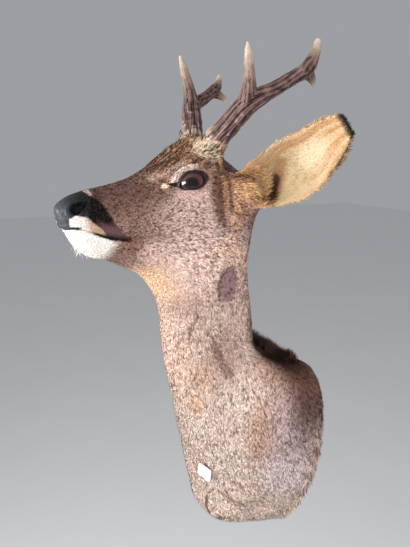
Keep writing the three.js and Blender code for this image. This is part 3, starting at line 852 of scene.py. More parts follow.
def ear_frame(points):
    """How far along its ear each point is, from 0 to 1, how far across, from -1 above to 1 below, and how far
    it lies in front of the middle of the leaf, in mm."""
    away = mirrored(points) - EAR_ROOT
    reach = np.where(points[:, :1] > 0, EAR_TIPS["left"], EAR_TIPS["right"]) - EAR_ROOT
    way = unit(reach)
    opening = unit(EAR_OPENING - way * (way @ EAR_OPENING)[:, None])
    along = (away * reach).sum(1) / (reach**2).sum(1)
    across = (away * np.cross(way, opening)).sum(1)
    upper, lower, cup = (np.interp(np.clip(along, 0, 1), EAR_STEPS, sizes)
                         for sizes in (EAR_UPPER_HALF, EAR_LOWER_HALF, EAR_CUP))
    across = across / np.maximum(np.where(across > 0, lower, upper), 2)
    facing = (away * opening).sum(1) - cup * (np.clip(across, -1, 1) ** 2 - EAR_FLATNESS)
    return along, across, facing


def ear_marks(points):
    ear = ear_share(points)
    along, across, facing = ear_frame(points)
    yield (160, 132, 116), ear * smooth(0.2, -0.2, facing)
    inner = ear * smooth(-0.2, 0.2, facing)
    lines = across + 0.05 * np.sin(along * 17) + 0.1 * along
    streak = np.sin(lines * 13 + 2 * along) * 0.5 + np.sin(lines * 31 + 1) * 0.3
    streak = streak + np.sin(lines * 57 + 4 * along) * 0.3
    yield (204, 168, 124), inner
    yield (176, 128, 78), 0.8 * inner * smooth(0.0, 0.7, streak)
    yield (228, 206, 176), 0.7 * inner * smooth(0.0, -0.8, streak)
    root = np.hypot(0.9 * (along - 0.36), 0.5 * (across - 0.2))
    yield (180, 166, 130), 0.85 * inner * smooth(0.42, 0.2, root)
    # the pale bare middle of the inner ear, with a painted highlight laid on it
    middle = np.hypot(0.8 * (along - 0.66), 0.3 * (across - 0.1))
    yield (232, 214, 184), 0.8 * inner * smooth(0.18, 0.04, middle)
    yield (232, 184, 134), 0.9 * inner * smooth(0.2, 0.1, along)
    yield (236, 216, 204), 0.8 * inner * smooth(0.84, 0.95, across) * smooth(0.8, 0.6, along)
    spot = np.c_[along * EAR_LENGTH, across * EAR_HALF_WIDTH, 0 * along]
    # painted shade of the hollow at the ear's root
    for colour, strength, outside, inside, corners in EAR_HOLLOW_SHADES:
        yield colour, strength * inner * smooth(outside, inside, line_distance(spot, corners)[0])
    rim = np.maximum(smooth(0.935, 0.965, along), smooth(0.8, 0.9, across) * smooth(0.64, 0.72, along))
    top_rim = smooth(-0.82, -0.92, across) * smooth(0.6, 0.65, along)
    yield (22, 14, 12), 0.97 * ear * np.maximum(rim, top_rim)


# %% Painting the skin
def coat_colours(points):
    """Lays every mark over the ones before it."""
    colours = np.zeros((len(points), 3))
    for marks in (body_marks, head_marks, bare_marks, ear_marks):
        for colour, share in marks(points):
            colours += (tone(colour) - colours) * np.clip(share, 0, 1)[:, None]
    return colours


def set_attribute(mesh, name, values):
    """Stores one number or one colour for each point of a mesh."""
    is_colour = values.ndim > 1
    attribute = mesh.attributes.new(name, "FLOAT_COLOR" if is_colour else "FLOAT", "POINT")
    if is_colour:
        values = np.c_[values, np.ones(len(values))]
    attribute.data.foreach_set("color" if is_colour else "value", values.astype(np.float32).ravel())


def hairless_share(points):
    """Where the skin shows: nose, lids and nostrils."""
    lids = (eye_frame(points)[2] > -8) * smooth(1.3, 1.16, eye_opening(points))
    tears, nostrils = smooth(0.1, 0.4, tear_line(points)), smooth(1.2, 1.0, nostril_reach(points))
    return np.maximum.reduce((nose_share(points), lids, tears, nostrils))


spots = points_of(skin_mesh)
painted = dict(coat=coat_colours, bare=hairless_share, nose=nose_share, worn=bald_share)
for name, measure in painted.items():
    set_attribute(skin_mesh, name, measure(spots))
print("marks laid on", len(spots), "points")

# %% Skin material
# Under the hair the hide is darker than its coat. On the nose it is pebbled and faintly moist, and on the
# worn patch it is leathery.
hide = Shader("hide", Specular_IOR_Level=0.4)
hide_colour = hide.attribute("coat", "Color")
bare, nose, worn = hide.attribute("bare"), hide.attribute("nose"), hide.attribute("worn")
undercoat = hide.mix(1, hide_colour, (0.8, 0.74, 0.7), "MULTIPLY")
streaks = hide.noise(900, 2)
undercoat = hide.mix(streaks.ramp(0.5, 0.3) * 0.6, undercoat, (0.12, 0.08, 0.06))
shown = hide.mix((bare + worn).math("MINIMUM", 1), undercoat, hide_colour)
pebbles = hide.node("TexVoronoi", {"feature": "DISTANCE_TO_EDGE"}, "Distance", Vector=hide.place(), Scale=620)
leather = hide.noise(420, 4, 0.65)
dusty = hide.mix(nose * leather.ramp(0.45, 0.8) * 0.3, shown, (0.09, 0.1, 0.12))
patchy = hide.mix(worn * hide.noise(260, 5, 0.7).ramp(0.45, 0.62), dusty, (0.1, 0.055, 0.06))
relief = nose * pebbles.ramp(0.0, 0.12) * 0.6 + leather * (0.4 + worn)
moist = nose * 0.36 - nose * leather.ramp(0.4, 0.8) * 0.1 + (bare - nose).math("MAXIMUM", 0) * 0.3
hide_finish = hide.finish(Base_Color=patchy, Roughness=0.8 - moist, Normal=hide.bump(relief, 0.0004, 0.6))
skin = add_piece(skin_mesh, "skin", hide_finish, "coat", *FLESH)
shade_smooth(skin_mesh)
print("skin triangles:", triangle_count(skin_mesh))

# %% [markdown]
# ## The lie of the coat
# Hair is what makes a mount look like an animal. A particle system would be quick, but its strands are not
# solid. So each tuft is a thin closed spike, with its root in the skin, lying along the coat's own
# direction. They are made by the hundred thousand as arrays of points and joined in a few meshes.
# Neighbours lean together in small locks.

# %% Direction and length of the hair
DOWN = np.array((0, 0, -1))


def lie_of_coat(points, normals):
    """The way the hair points: back along the head, down the neck and chest, out along the ears."""
    back, up = head_frame(points)
    forward, over, out = eye_frame(points)
    x, y, z = mirrored(points).T
    head = (head_share(points) * smooth(-118, -96, up))[:, None]
    ear = ear_share(points)[:, None]
    drop = 0.25 + 0.75 * smooth(-40, -100, up) + 0.5 * smooth(110, 190, back)
    on_head = HEAD_BACK + DOWN * drop[:, None] * smooth(10, -30, up)[:, None]
    on_body = DOWN + np.c_[0.0025 * x, 0.25 + 0 * x, 0 * x]
    way = on_head * head + on_body * (1 - head)
    ring = np.hypot(forward, over)
    around = (-EYE_SLIT + 0.9 * EYE_UP * np.sign(over)[:, None] * smooth(0, 10, np.abs(over))[:, None])
    near = (smooth(26, 12, ring) * (out > -4))[:, None]
    way = way * (1 - near) + around * near
    reach = unit(np.array(EAR_TIPS["left"]) - EAR_ROOT)
    spread = np.cross(reach, unit(EAR_OPENING)) * (0.35 * ear_frame(points)[1])[:, None]
    way = way * (1 - ear) + (reach + spread) * ear
    waves = np.sin(np.c_[z * 0.13 + y * 0.09, z * 0.11 + x * 0.13, x * 0.1 + y * 0.12])
    way = (way + 0.16 * waves) * side_signs(points)
    return unit(way - normals * (way * normals).sum(1)[:, None])


def hair_length(points):
    back, up = head_frame(points)
    face = 2.4 + 1.2 * smooth(30, 130, back) + 1.0 * smooth(-40, -80, up)
    body = 4.6 + 0.6 * smooth(140, 60, points[:, 2])
    head = head_share(points)
    length = face * head + body * (1 - head)
    forward, over, out = eye_frame(points)
    length = length * (1 - 0.55 * smooth(24, 12, np.hypot(forward, over)) * (out > -6))
    length = np.where(muzzle_dark_share(points) > 0.5, 2.0, length)
    ear = ear_share(points)
    along, across, _ = ear_frame(points)
    edge = np.maximum(smooth(0.6, 1, np.abs(across)), smooth(0.75, 0.95, along))
    return length * (1 - ear) + 9.0 * (1 - 0.7 * edge) * ear


# %% Roots on the skin
def roots_on(mesh, count, thickness):
    """Random places on the skin, as many as count, closer together where thickness is greater."""
    mesh.calc_loop_triangles()
    corners = np.empty(len(mesh.loop_triangles) * 3, np.int32)
    mesh.loop_triangles.foreach_get("vertices", corners)
    corners = corners.reshape(-1, 3)
    points, normals = points_of(mesh), normals_of(mesh)
    a, b, c = (points[corners[:, n]] for n in range(3))
    area = np.linalg.norm(np.cross(b - a, c - a), axis=1) / 2
    weight = area * thickness((a + b + c) / 3, normals[corners[:, 0]])
    chosen = np.searchsorted(np.cumsum(weight) / weight.sum(), random.random(count))
    chosen = np.minimum(chosen, len(area) - 1)
    u, v = random.random((2, count))
    flip = u + v > 1
    u, v = np.where(flip, 1 - u, u), np.where(flip, 1 - v, v)
    shares = np.stack((1 - u - v, u, v), 1)[:, :, None]
    at = (points[corners[chosen]] * shares).sum(1)
    facing = unit((normals[corners[chosen]] * shares).sum(1))
    print("roots:", count, "on", round(weight.sum() / 100), "square cm of coat")
    return at, facing


def coat_thickness(points, normals):
    at_wall = smooth(-2.2, -4.5, points[:, 1])
    back, up = head_frame(points)
    closed_mouth = (np.abs(above_lip(back, up)) < 0.8) & (back < MUZZLE_LENGTH) & (up > -60)
    share = (1 - hairless_share(points)) * at_wall * (1 - 0.93 * bald_share(points)) * ~closed_mouth
    return share * (1 + 0.9 * head_share(points)) * (1 - 0.35 * ear_share(points))


COAT_COUNT = 345000
hair_at, hair_normal = roots_on(skin_mesh, COAT_COUNT, coat_thickness)

# %% Locks
# A lock's hairs share a tone and draw together at their tips. A rounded cell of space stands for each lock.
HEAD_LOCKS, HEAD_LOCK_SEED = 1.4, 4  # mm between the middles of neighbouring locks
BODY_LOCKS, BODY_LOCK_SEED = 1.45, 3
HASH_PRIMES = (1640531527, 2246822519, 3266489917, 668265263)
LOW_BITS = 0xFFFFFF


def lock_of(points, spacing, seed):
    """For each point, the middle of its lock and a random number that the whole lock shares."""
    shift = np.array((0.37, 0.71, 0.13)) * seed
    cell = np.floor(points / spacing + shift).astype(np.int64)
    best = np.full(len(points), np.inf)
    middle, share = np.zeros((len(points), 3)), np.zeros(len(points))
    for step in np.ndindex(3, 3, 3):
        near = cell + np.array(step) - 1
        mixed = (near[:, 0] * 73856093) ^ (near[:, 1] * 19349663) ^ (near[:, 2] * 83492791)
        mixed = mixed ^ (seed * 2654435)
        parts = [((mixed * prime) & LOW_BITS) / LOW_BITS for prime in HASH_PRIMES]
        spot = (near + np.stack(parts[:3], 1) - shift) * spacing
        away = ((spot - points) ** 2).sum(1)
        closer = away < best
        best = np.where(closer, away, best)
        middle = np.where(closer[:, None], spot, middle)
        share = np.where(closer, parts[3], share)
    return middle, share


locks = lock_of(hair_at, BODY_LOCKS, BODY_LOCK_SEED)
haired_head = head_share(hair_at) > 0.5
for part, found in zip(locks, lock_of(hair_at, HEAD_LOCKS, HEAD_LOCK_SEED)):
    part[haired_head] = found[haired_head]
coat_hair = (hair_at, hair_normal, lie_of_coat(hair_at, hair_normal), *locks)
print("locks: a hair is", np.linalg.norm(locks[0] - hair_at, axis=1).mean().round(2), "mm from the middle")


# %% Tufts as solid spikes
BAKE_PATCH = 0.003
SINK = 0.09  # how deep a root sits, as a share of the hair's length
WALL_GAP = 0.2


def bake_place(points):
    """Where each root lies on a flat unwrap of the skin: rolled off round the neck, the head and the ears."""
    around_body = np.arctan2(points[:, 0], -(points[:, 1] + 25)) / (2 * math.pi) + 0.5
    body = np.c_[around_body, 0.02 + (points[:, 2] + 125) / 420 * 0.55]
    back, up = head_frame(points)
    around_head = np.arctan2(points[:, 0], up + 28) / (2 * math.pi) + 0.5
    head = np.c_[around_head, 0.6 + np.clip(back, 0, 210) / 210 * 0.2]
    along, across, facing = ear_frame(points)
    column = np.where(points[:, 0] > 0, 0.0, 0.5) + np.where(facing > 0, 0.0, 0.25)
    ear = np.c_[column + 0.01 + np.clip(along, 0, 1) * 0.22, 0.83 + np.clip(across + 1, 0, 2) * 0.07]
    place = np.where(head_share(points)[:, None] > 0.5, head, body)
    place = np.where(ear_share(points)[:, None] > 0.5, ear, place)
    return np.clip(place, 0, 1 - 1.01 * BAKE_PATCH)


def spike_points(roots, normals, ways, lock, length, width, lift, droop, gather, rings):
    """The corners of every spike, three round each ring and one at the end, and how near the tip each is."""
    side = np.cross(normals, ways)
    points = np.empty((len(roots), 3 * rings + 1, 3))
    tips = np.ones(points.shape[:2])
    lean = (lock - roots) - normals * ((lock - roots) * normals).sum(1)[:, None]
    for ring in range(rings + 1):
        share = ring / rings
        rise = np.sin(lift) * share - droop * share**2
        middle = roots + ways * (length * np.cos(lift) * share)[:, None]
        middle += normals * (length * (rise - SINK) - 0.03)[:, None] + lean * (gather * share)
        if ring == rings:
            points[:, -1] = middle
            continue
        half = (width * (1 - 0.55 * share) / 2)[:, None]
        for corner, offset in enumerate((side * half, -side * half, normals * half * 1.3)):
            points[:, 3 * ring + corner] = middle + offset
        tips[:, 3 * ring : 3 * ring + 3] = share
    points[:, :, 1] = np.minimum(points[:, :, 1], -WALL_GAP - 0.3 * tips)  # hair is pressed flat by the wall
    return points, tips


def spike_faces(rings):
    """One spike's triangles: its foot, the walls between its rings, and the three that meet at its tip."""
    faces = [(0, 1, 2)]
    edges = ((0, 2), (2, 1), (1, 0))
    for low in range(0, 3 * rings - 3, 3):
        high = low + 3
        for i, j in edges:
            faces += [(low + i, low + j, high + j), (low + i, high + j, high + i)]
    return faces + [(3 * rings - 3 + i, 3 * rings - 3 + j, 3 * rings) for i, j in edges]


def tuft_mesh(name, roots, points, tips, rings):
    """Joins the spikes, and lays each one as a small patch on the unwrap, where its root is."""
    count, per_tuft = tips.shape
    corners = np.array(spike_faces(rings)) + per_tuft * np.arange(count)[:, None, None]
    corners = corners.reshape(-1, 3)
    mesh = bpy.data.meshes.new(name)
    mesh.vertices.add(count * per_tuft)
    mesh.loops.add(corners.size)
    mesh.polygons.add(len(corners))
    mesh.vertices.foreach_set("co", (points * MM).ravel())
    mesh.loops.foreach_set("vertex_index", corners.ravel().astype(np.int32))
    mesh.polygons.foreach_set("loop_start", np.arange(0, corners.size, 3, dtype=np.int32))
    mesh.update(calc_edges=True)
    patch = BAKE_PATCH * np.array(((0, 0), (1, 0), (0, 1)) * rings + ((1, 1),))
    flat = bake_place(roots)[:, None] + patch
    unwrap = mesh.uv_layers.new(name="OFBake")
    unwrap.data.foreach_set("uv", flat.reshape(-1, 2)[corners.ravel()].astype(np.float32).ravel())
    set_attribute(mesh, "tip", tips.ravel())
    return mesh


# %% Coat material
coat = Shader("coat", Roughness=0.62, Specular_IOR_Level=0.25)
coat_colour, pick = coat.attribute("coat", "Color"), coat.attribute("pick")
tip, ticking = coat.attribute("tip"), coat.attribute("ticking")
dark_hair = coat.mix(1, coat_colour, (0.22, 0.15, 0.12), "MULTIPLY")
light_hair = coat.mix(1, coat_colour, (1.7, 1.7, 1.7), "MULTIPLY")
mottle = coat.noise(330, 3, 0.6)
tone_of_hair = pick * 0.8 + mottle * 0.4 - 0.1
plain = coat.mix(ticking * tone_of_hair.ramp(0.42, 0.3), coat_colour, dark_hair)
plain = coat.mix(ticking * tone_of_hair.ramp(0.46, 0.62), plain, light_hair)
plain = coat.mix(ticking * tip.ramp(0.55, 0.8) * tone_of_hair.ramp(0.62, 0.5) * 0.6, plain, dark_hair)
# painted shade: each hair is darkened towards its root, where the coat would shade itself
root_shaded = coat.mix(tip.ramp(0.35, 0.0) * 0.3 * ticking, plain, dark_hair)
fibres = coat.noise(2600, 2, 0.6)
coat_finish = coat.finish(
    Base_Color=root_shaded, Roughness=0.55 + fibres * 0.25, Normal=coat.bump(fibres, 0.00012, 0.5)
)


def ticking_share(points):
    """How strongly dark and light hairs mix. The chin, the throat and the inner ears are nearly plain."""
    back, up = head_frame(points)
    throat = 0.8 * blob(points, (0, -135, 205), (60, 40, 40), 0.5)
    chin = 0.9 * smooth(45, 30, back) * smooth(-18, -24, up) * (up > -70)
    lip = smooth(34, 28, back) * smooth(-4, -9, up) * (up > -70)
    plain = np.maximum.reduce((throat, chin, lip, 0.85 * ear_share(points), muzzle_dark_share(points)))
    return (1 - plain) * (0.8 + 0.2 * head_share(points))


def coat_piece(name, slot, hair, *, rings=1, longer=1.0, wider=1.0, lift=0.2, droop=0.0, gather=0.4,
               spread=0.2, shared=0.85):
    """A piece of the coat. hair holds roots, normals, directions, and the middle and number of each lock."""
    roots, normals, ways, lock_middle, lock_share = hair
    count = len(roots)
    turn = random.normal(0, spread, count)
    ways = unit(ways + np.cross(normals, ways) * turn[:, None])
    length = hair_length(roots) * random.uniform(0.7, 1.25, count) * longer
    width = (0.56 + 0.035 * np.minimum(length, 11)) * random.uniform(0.75, 1.25, count) * wider
    lifted = lift * random.uniform(0.4, 1.5, count)
    sizes = (length, width, lifted, droop, gather, rings)
    points, tips = spike_points(roots, normals, ways, lock_middle, *sizes)
    mesh = tuft_mesh(name, roots, points, tips, rings)
    pick = shared * lock_share + (1 - shared) * random.random(count)
    for key, values in (("pick", pick), ("ticking", ticking_share(roots)), ("coat", coat_colours(roots))):
        set_attribute(mesh, key, np.repeat(values, 3 * rings + 1, axis=0))
    add_piece(mesh, name, coat_finish, slot)
    print(name, count, "tufts,", len(mesh.polygons), "triangles")


# %% The coat, region by region
PIECE_MOST = 49000
BRISKET_TOP, CHEST_TOP = 20, 118


def coat_region(name, slot, share, **shape):
    chosen = np.flatnonzero(share)[:PIECE_MOST]
    coat_piece(name, slot, [part[chosen] for part in coat_hair], **shape)


height = hair_at[:, 2]
on_ear = ear_share(hair_at) > 0.5
on_head = haired_head & ~on_ear
on_body = ~on_head & ~on_ear
regions = {
    "head": on_head,
    "neck": on_body & (height >= CHEST_TOP),
    "chest": on_body & (height < CHEST_TOP) & (height > BRISKET_TOP),
    "brisket": on_body & (height <= BRISKET_TOP),
}
on_left = hair_at[:, 0] > 0
for region, share in regions.items():
    for side, here in (("left", on_left), ("right", ~on_left)):
        coat_region(f"coat_{region}_{side}", "coat", share & here, gather=0.3, spread=0.3)
coat_region("coat_ears", "ear_hair", on_ear, wider=0.8, lift=0.09, gather=0.0, spread=0.07, shared=0.1)

# %% Longer hair
# Round the antlers, along the withers, at the lower edge of the hide and on the rims of the ears the hair
# is longer and stands out. These tufts have a joint in the middle, so that they can bend.
LONG_LOCK_SEED = 5


def longer_hair(name, slot, count, thickness, lock=4.0, **shape):
    """A piece of longer, bent hair on the places where thickness is above nothing."""
    roots, normals = roots_on(skin_mesh, count, thickness)
    locks = lock_of(roots, lock, LONG_LOCK_SEED)
    coat_piece(name, slot, (roots, normals, lie_of_coat(roots, normals), *locks), rings=2, **shape)


def on_crown(points, normals):
    one = mirrored(points)
    round_antler = blob(one, (26, -88, 339), (19, 17, 14), 0.3)
    between = 0.6 * blob(one, (0, -100, 342), (22, 26, 12), 0.4)
    return np.maximum(round_antler, between) * (1 - ear_share(points))


def on_withers(points, normals):
    return blob(mirrored(points), (38, -8, 128), (36, 9, 16), 0.3) * (points[:, 1] < -2)


def on_base_edge(points, normals):
    edge = smooth(-13, -6, points[:, 1]) * (points[:, 1] < -2) * smooth(110, 80, points[:, 2])
    return np.maximum(edge, 0.3 * smooth(-100, -116, points[:, 2])) * (points[:, 2] < 112)


def on_ear_root(points, normals):
    along, across, facing = ear_frame(points)
    inner = smooth(0.5, 1.5, facing) * smooth(0.02, 0.06, along) * smooth(0.17, 0.12, along)
    return ear_share(points) * inner * smooth(0.75, 0.6, np.abs(across))


def on_chin(points, normals):
    return blob(points, (0, -206, 246), (9, 12, 6), 0.3) * (normals[:, 2] < -0.3)


def on_ear_rim(points, normals):
    along, across, _ = ear_frame(points)
    rim = np.maximum(smooth(0.78, 0.92, np.abs(across)), smooth(0.9, 0.97, along))
    return ear_share(points) * rim * smooth(0.1, 0.3, along)


crown = dict(lock=2.4, longer=2.1, wider=0.9, lift=0.5, droop=0.2, gather=0.5)
longer_hair("coat_crown", "coat", 7000, on_crown, **crown)
longer_hair("coat_withers", "coat", 6000, on_withers, longer=2.5, wider=1.1, lift=1.2, droop=0.1, gather=0.5)
longer_hair("coat_base_edge", "coat", 5200, on_base_edge, longer=1.3, lift=0.5, droop=0.1, gather=0.5)
longer_hair("coat_ear_roots", "ear_hair", 1500, on_ear_root, longer=1.5, lift=0.5, droop=0.3, gather=0.3)
longer_hair("coat_whiskers", "coat", 22, on_chin, longer=3.6, wider=0.6, lift=0.9, gather=0.0)
ear_rims = dict(lock=3.0, longer=1.3, wider=0.8, lift=0.1, gather=0.2)
longer_hair("coat_ear_rims", "ear_hair", 3600, on_ear_rim, **ear_rims)

# %% Thin the skin
# The roots are drawn now, so the skin no longer needs all its faces.
SKIN_TRIANGLES = 196000

thinning = skin.modifiers.new("thinning", "DECIMATE")
thinning.ratio = SKIN_TRIANGLES / triangle_count(skin.data)
thin_mesh = baked(skin)
skin.modifiers.clear()
skin.data = thin_mesh
shade_smooth(thin_mesh)
print("thinned skin triangles:", triangle_count(thin_mesh))

# %% [markdown]
# ## Antlers
# Antler is bone that grew under skin, with blood vessels that left furrows all along it and beads, called
# pearls, near the base. Each antler starts as round curves of changing radius. They are remeshed into one
# surface, so that the tines flow into the beam, and then their points are moved in and out.

# %% Antler curves
ANTLER_POINTS = {
    "left": {
        "root": (18.5, -83, 340), "brow": (53, -64, 378), "front": (64.5, -74, 430),
        "fork": (82.5, -22, 408), "top": (83, -10, 436), "rear": (76.5, -6, 395),
    },
    "right": {
        "root": (-18.5, -82.5, 340), "brow": (-54, -65, 381), "front": (-65, -75, 435),
        "fork": (-82, -23, 402), "top": (-95, -7, 423), "rear": (-75, -5, 390),
    },
}
BEAM_RADII = (10.6, 10.6, 10.2, 10.0, 10.2, 8.6, 7.0, 6.3, 6.0, 6.6)
TINES = {  # where each one starts, how its middle bends away, and its radii
    "front": ("brow", (2, 1, -2), (9.6, 6.8, 5.0, 4.3, 1.4)),
    "top": ("fork", (0, 2, -2), (7.0, 6.0, 5.0, 4.0, 2.4)),
    "rear": ("fork", (0, 2, 0), (6.6, 4.8, 3.2, 0.9)),
}
ANTLER_VOXEL = 0.9 * MM
ANTLER_PASSES = 7


def smooth_line(corners, count):
    """Points along a Catmull-Rom curve through the corners, evenly placed."""
    corners = np.array(corners, float)
    padded = np.vstack((2 * corners[0] - corners[1], corners, 2 * corners[-1] - corners[-2]))
    fine = []
    for a, b, c, d in zip(padded, padded[1:], padded[2:], padded[3:]):
        s = np.linspace(0, 1, 40, endpoint=False)[:, None]
        bend = (2 * a - 5 * b + 4 * c - d) * s**2 + (3 * b - a - 3 * c + d) * s**3
        fine.append((2 * b + (c - a) * s + bend) / 2)
    fine = np.vstack(fine + [corners[-1:]])
    run = np.r_[0, np.cumsum(np.linalg.norm(np.diff(fine, axis=0), axis=1))]
    even = np.linspace(0, run[-1], count)
    return np.stack([np.interp(even, run, fine[:, n]) for n in range(3)], 1)


def spread_out(values, count):
    """As many values as count, running evenly through the ones given."""
    return np.interp(np.linspace(0, 1, count), np.linspace(0, 1, len(values)), values)


def antler_lines(side):
    """The middle line and radius of the beam and of each tine, in millimetres."""
    at = {name: np.array(place, float) for name, place in ANTLER_POINTS[side].items()}
    beam = (at["root"], (at["root"] + at["brow"]) / 2, at["brow"], (at["brow"] + at["fork"]) / 2, at["fork"])
    lines = [(smooth_line(beam, 40), BEAM_RADII)]
    for name, (start, bend, radii) in TINES.items():
        middle = (at[start] + at[name]) / 2 + np.array(bend)
        lines.append((smooth_line((at[start], middle, at[name]), 22), radii))
    return [(line, spread_out(radii, len(line))) for line, radii in lines]


def antler_curve(side):
    curve = bpy.data.curves.new("antler_" + side, "CURVE")
    curve.dimensions = "3D"
    curve.bevel_depth = MM
    curve.bevel_resolution = 8
    curve.use_fill_caps = True
    for line, radii in antler_lines(side):
        spline = curve.splines.new("POLY")
        spline.points.add(len(line) - 1)
        for point, place, radius in zip(spline.points, line, radii):
            point.co = (*(place * MM), 1)
            point.radius = radius
    return curve


def antler_mesh(side):
    holder = in_scene("holder", antler_curve(side))
    mesh = baked(holder)
    bpy.data.objects.remove(holder)
    return remeshed(mesh, ANTLER_VOXEL, ANTLER_PASSES)


# %% Furrows and pearls
FURROWS_OUT = 0.95


def antler_frame(side, points):
    """The angle of each point round its beam or tine, how far along it is, and how thin the antler is."""
    best = np.full(len(points), np.inf)
    around, along, thin = np.zeros((3, len(points)))
    for part, (line, radii) in enumerate(antler_lines(side)):
        away, share = line_distance(points, line)
        step = unit(np.gradient(line, axis=0))
        index = np.clip((share * (len(line) - 1)).round().astype(int), 0, len(line) - 1)
        across = unit(np.cross(step, (0.3, 1, 0.2)))
        other = np.cross(step, across)
        offset = points - line[index]
        angle = np.arctan2((offset * other[index]).sum(1), (offset * across[index]).sum(1))
        radius = np.interp(share, np.linspace(0, 1, len(radii)), radii)
        closer = away / radius < best
        best = np.where(closer, away / radius, best)
        around = np.where(closer, angle, around)
        along = np.where(closer, 0.62 * share if part == 0 else 0.45 + 0.55 * share, along)
        thin = np.where(closer, 1 - radius / 12, thin)
    return around, along, thin


def antler_relief(side, points):
    """How far each point stands out, in mm, and how far along it is, from 0 at the skull to 1 at a tip."""
    around, along, thin = antler_frame(side, points)
    wave = np.array([noise.noise(Vector(point) * 0.035) for point in points])
    coarse = np.array([noise.noise(Vector(point) * 0.16 + Vector((9, 3, 5))) for point in points])
    ridges = np.sin(9 * around + 6 * wave + 3 * along) * 0.5 + np.sin(21 * around - 9 * wave + 2) * 0.5
    ridges = ridges * (0.2 + 0.8 * smooth(1.0, 0.55, along)) * 0.95 * (1 - 0.5 * thin)
    pearl_middle, pearl_share = lock_of(points, 5.2, 11)
    pearl = smooth(2.6, 0.6, np.linalg.norm(points - pearl_middle, axis=1)) * (pearl_share > 0.45)
    burr = bell(along, 0.06, 0.02) * (1.2 + 0.9 * np.sin(17 * around + 3 * wave))
    return ridges + coarse * 0.6 + pearl * smooth(0.42, 0.1, along) * 1.3 + burr, along


# %% Antler material
bone = Shader("antler_bone", Specular_IOR_Level=0.45)
furrow, along_antler = bone.attribute("relief"), bone.attribute("along")
grain = bone.noise(240, 5, 0.62)
fine_grain = bone.noise(1500, 3, 0.6)
stain = bone.mix(furrow.ramp(-0.7, 0.75), (0.01, 0.005, 0.006), (0.185, 0.1, 0.09))
stain = bone.mix(grain.ramp(0.5, 0.75) * 0.5, stain, (0.25, 0.17, 0.13))
stain = bone.mix(furrow.ramp(0.5, 1.2) * along_antler.ramp(0.5, 0.1) * 0.7, stain, (0.42, 0.34, 0.26))
tipped = along_antler + furrow * 0.06 + grain * 0.16 - 0.08
bone_colour = bone.mix(tipped.ramp(0.55, 0.82) * 0.75, stain, (0.33, 0.24, 0.18))
bone_colour = bone.mix(tipped.ramp(0.76, 1.0) * 0.85, bone_colour, (0.52, 0.44, 0.36))
bone_colour = bone.mix(fine_grain.ramp(0.5, 0.7) * 0.35, bone_colour, (0.06, 0.04, 0.034))
antler_finish = bone.finish(
    Base_Color=bone_colour,
    Roughness=0.62 - tipped.ramp(0.75, 1.0) * 0.2 + fine_grain * 0.12,
    Normal=bone.bump(grain * 0.6 + fine_grain * 0.3, 0.0006, 0.7),
)
ANTLER_NODES = ("beam_lower", "beam_upper", "front_tine", "top_tine", "rear_tine")
for side in ANTLER_POINTS:
    mesh = antler_mesh(side)
    spots = points_of(mesh)
    relief, along = antler_relief(side, spots)
    move_to(mesh, spots + normals_of(mesh) * relief[:, None] * FURROWS_OUT)
    set_attribute(mesh, "relief", relief)
    set_attribute(mesh, "along", along)
    shade_smooth(mesh)
    nodes = [f"antler_{side}_{node}" for node in ANTLER_NODES]
    antler = add_piece(mesh, "antler_" + side, antler_finish, "antler_bone", *nodes)
    print(antler.name, len(mesh.polygons), "faces")

# %% [markdown]
# ## Glass eyes
# A taxidermist's eye is a glass shell painted behind: a wide dark pupil, lying level, in a red-brown iris.
# Here it is a ball whose front swells a little as a cornea does. The paint follows places stored on the
# ball, and a clear coat gives the wet shine.

# %% Eyes
eye_glass = Shader("eye_glass", Roughness=0.3, Coat_Weight=0.7, Coat_Roughness=0.02, Specular_IOR_Level=0.1)
level, upright = eye_glass.attribute("level"), eye_glass.attribute("upright")
along_slit, across_slit = level - 0.08, upright + 0.14
pupil = (along_slit * along_slit / 0.36 + across_slit * across_slit / 0.16).math("SQRT")
ring = (level * level + upright * upright).math("SQRT")
fibre_angle = eye_glass.node("CombineXYZ", X=level * 9, Y=upright * 9, Z=ring * 2)
fibres = eye_glass.noise(3, 4, 0.6, at=fibre_angle)
iris = eye_glass.mix(fibres.ramp(0.35, 0.65), (0.045, 0.018, 0.016), (0.115, 0.05, 0.044))
iris = eye_glass.mix(pupil.ramp(1.25, 0.7), iris, (0.006, 0.004, 0.004))
iris = eye_glass.mix(ring.ramp(0.72, 0.86), iris, (0.008, 0.005, 0.006))
eye_finish = eye_glass.finish(Base_Color=iris)


def eye_mesh(side):
    ball = bmesh.new()
    bmesh.ops.create_uvsphere(ball, u_segments=96, v_segments=64, radius=(EYE_RADIUS - 0.1) * MM)
    bmesh.ops.remove_doubles(ball, verts=ball.verts, dist=0.01 * MM)
    mesh = finished(ball, "eye_" + side)
    spots = points_of(mesh)
    flip = np.array((1, 1, 1) if side == "left" else (-1, 1, 1))
    seen = spots * flip
    forward, up, out = seen @ EYE_SLIT, seen @ EYE_UP, seen @ EYE_OUT
    swell = 0.9 * smooth(8.5, 3, np.hypot(forward, up)) * (out > 0)
    move_to(mesh, spots + unit(spots) * swell[:, None] + EYE_CENTRE * flip)
    reach = EYE_RADIUS * 0.95
    set_attribute(mesh, "level", np.where(out > 0, forward / reach, 1))
    set_attribute(mesh, "upright", np.where(out > 0, up / reach, 1))
    shade_smooth(mesh)
    return mesh


for side in ("left", "right"):
    add_piece(eye_mesh(side), "eye_ball_" + side, eye_finish, "eye_glass", "eye_" + side)
print("eyes, mm across:", 2 * EYE_RADIUS)

# %% [markdown]
# ## The small parts
# A blank paper sticker on the brisket, and behind it all the board that the form is screwed to, with a
# steel bar across a pocket to hang it by. The sticker is a thin sheet that has begun to curl off the hair.

# %% Sticker
LABEL_CENTRE = np.array((32.8, -88.9, -10.6))
LABEL_SIZE = (17.5, 16.4)
LABEL_TURN = (0.05, 0.2, 0.38)
LABEL_CORNER = 1.6
LABEL_THICKNESS = 0.3

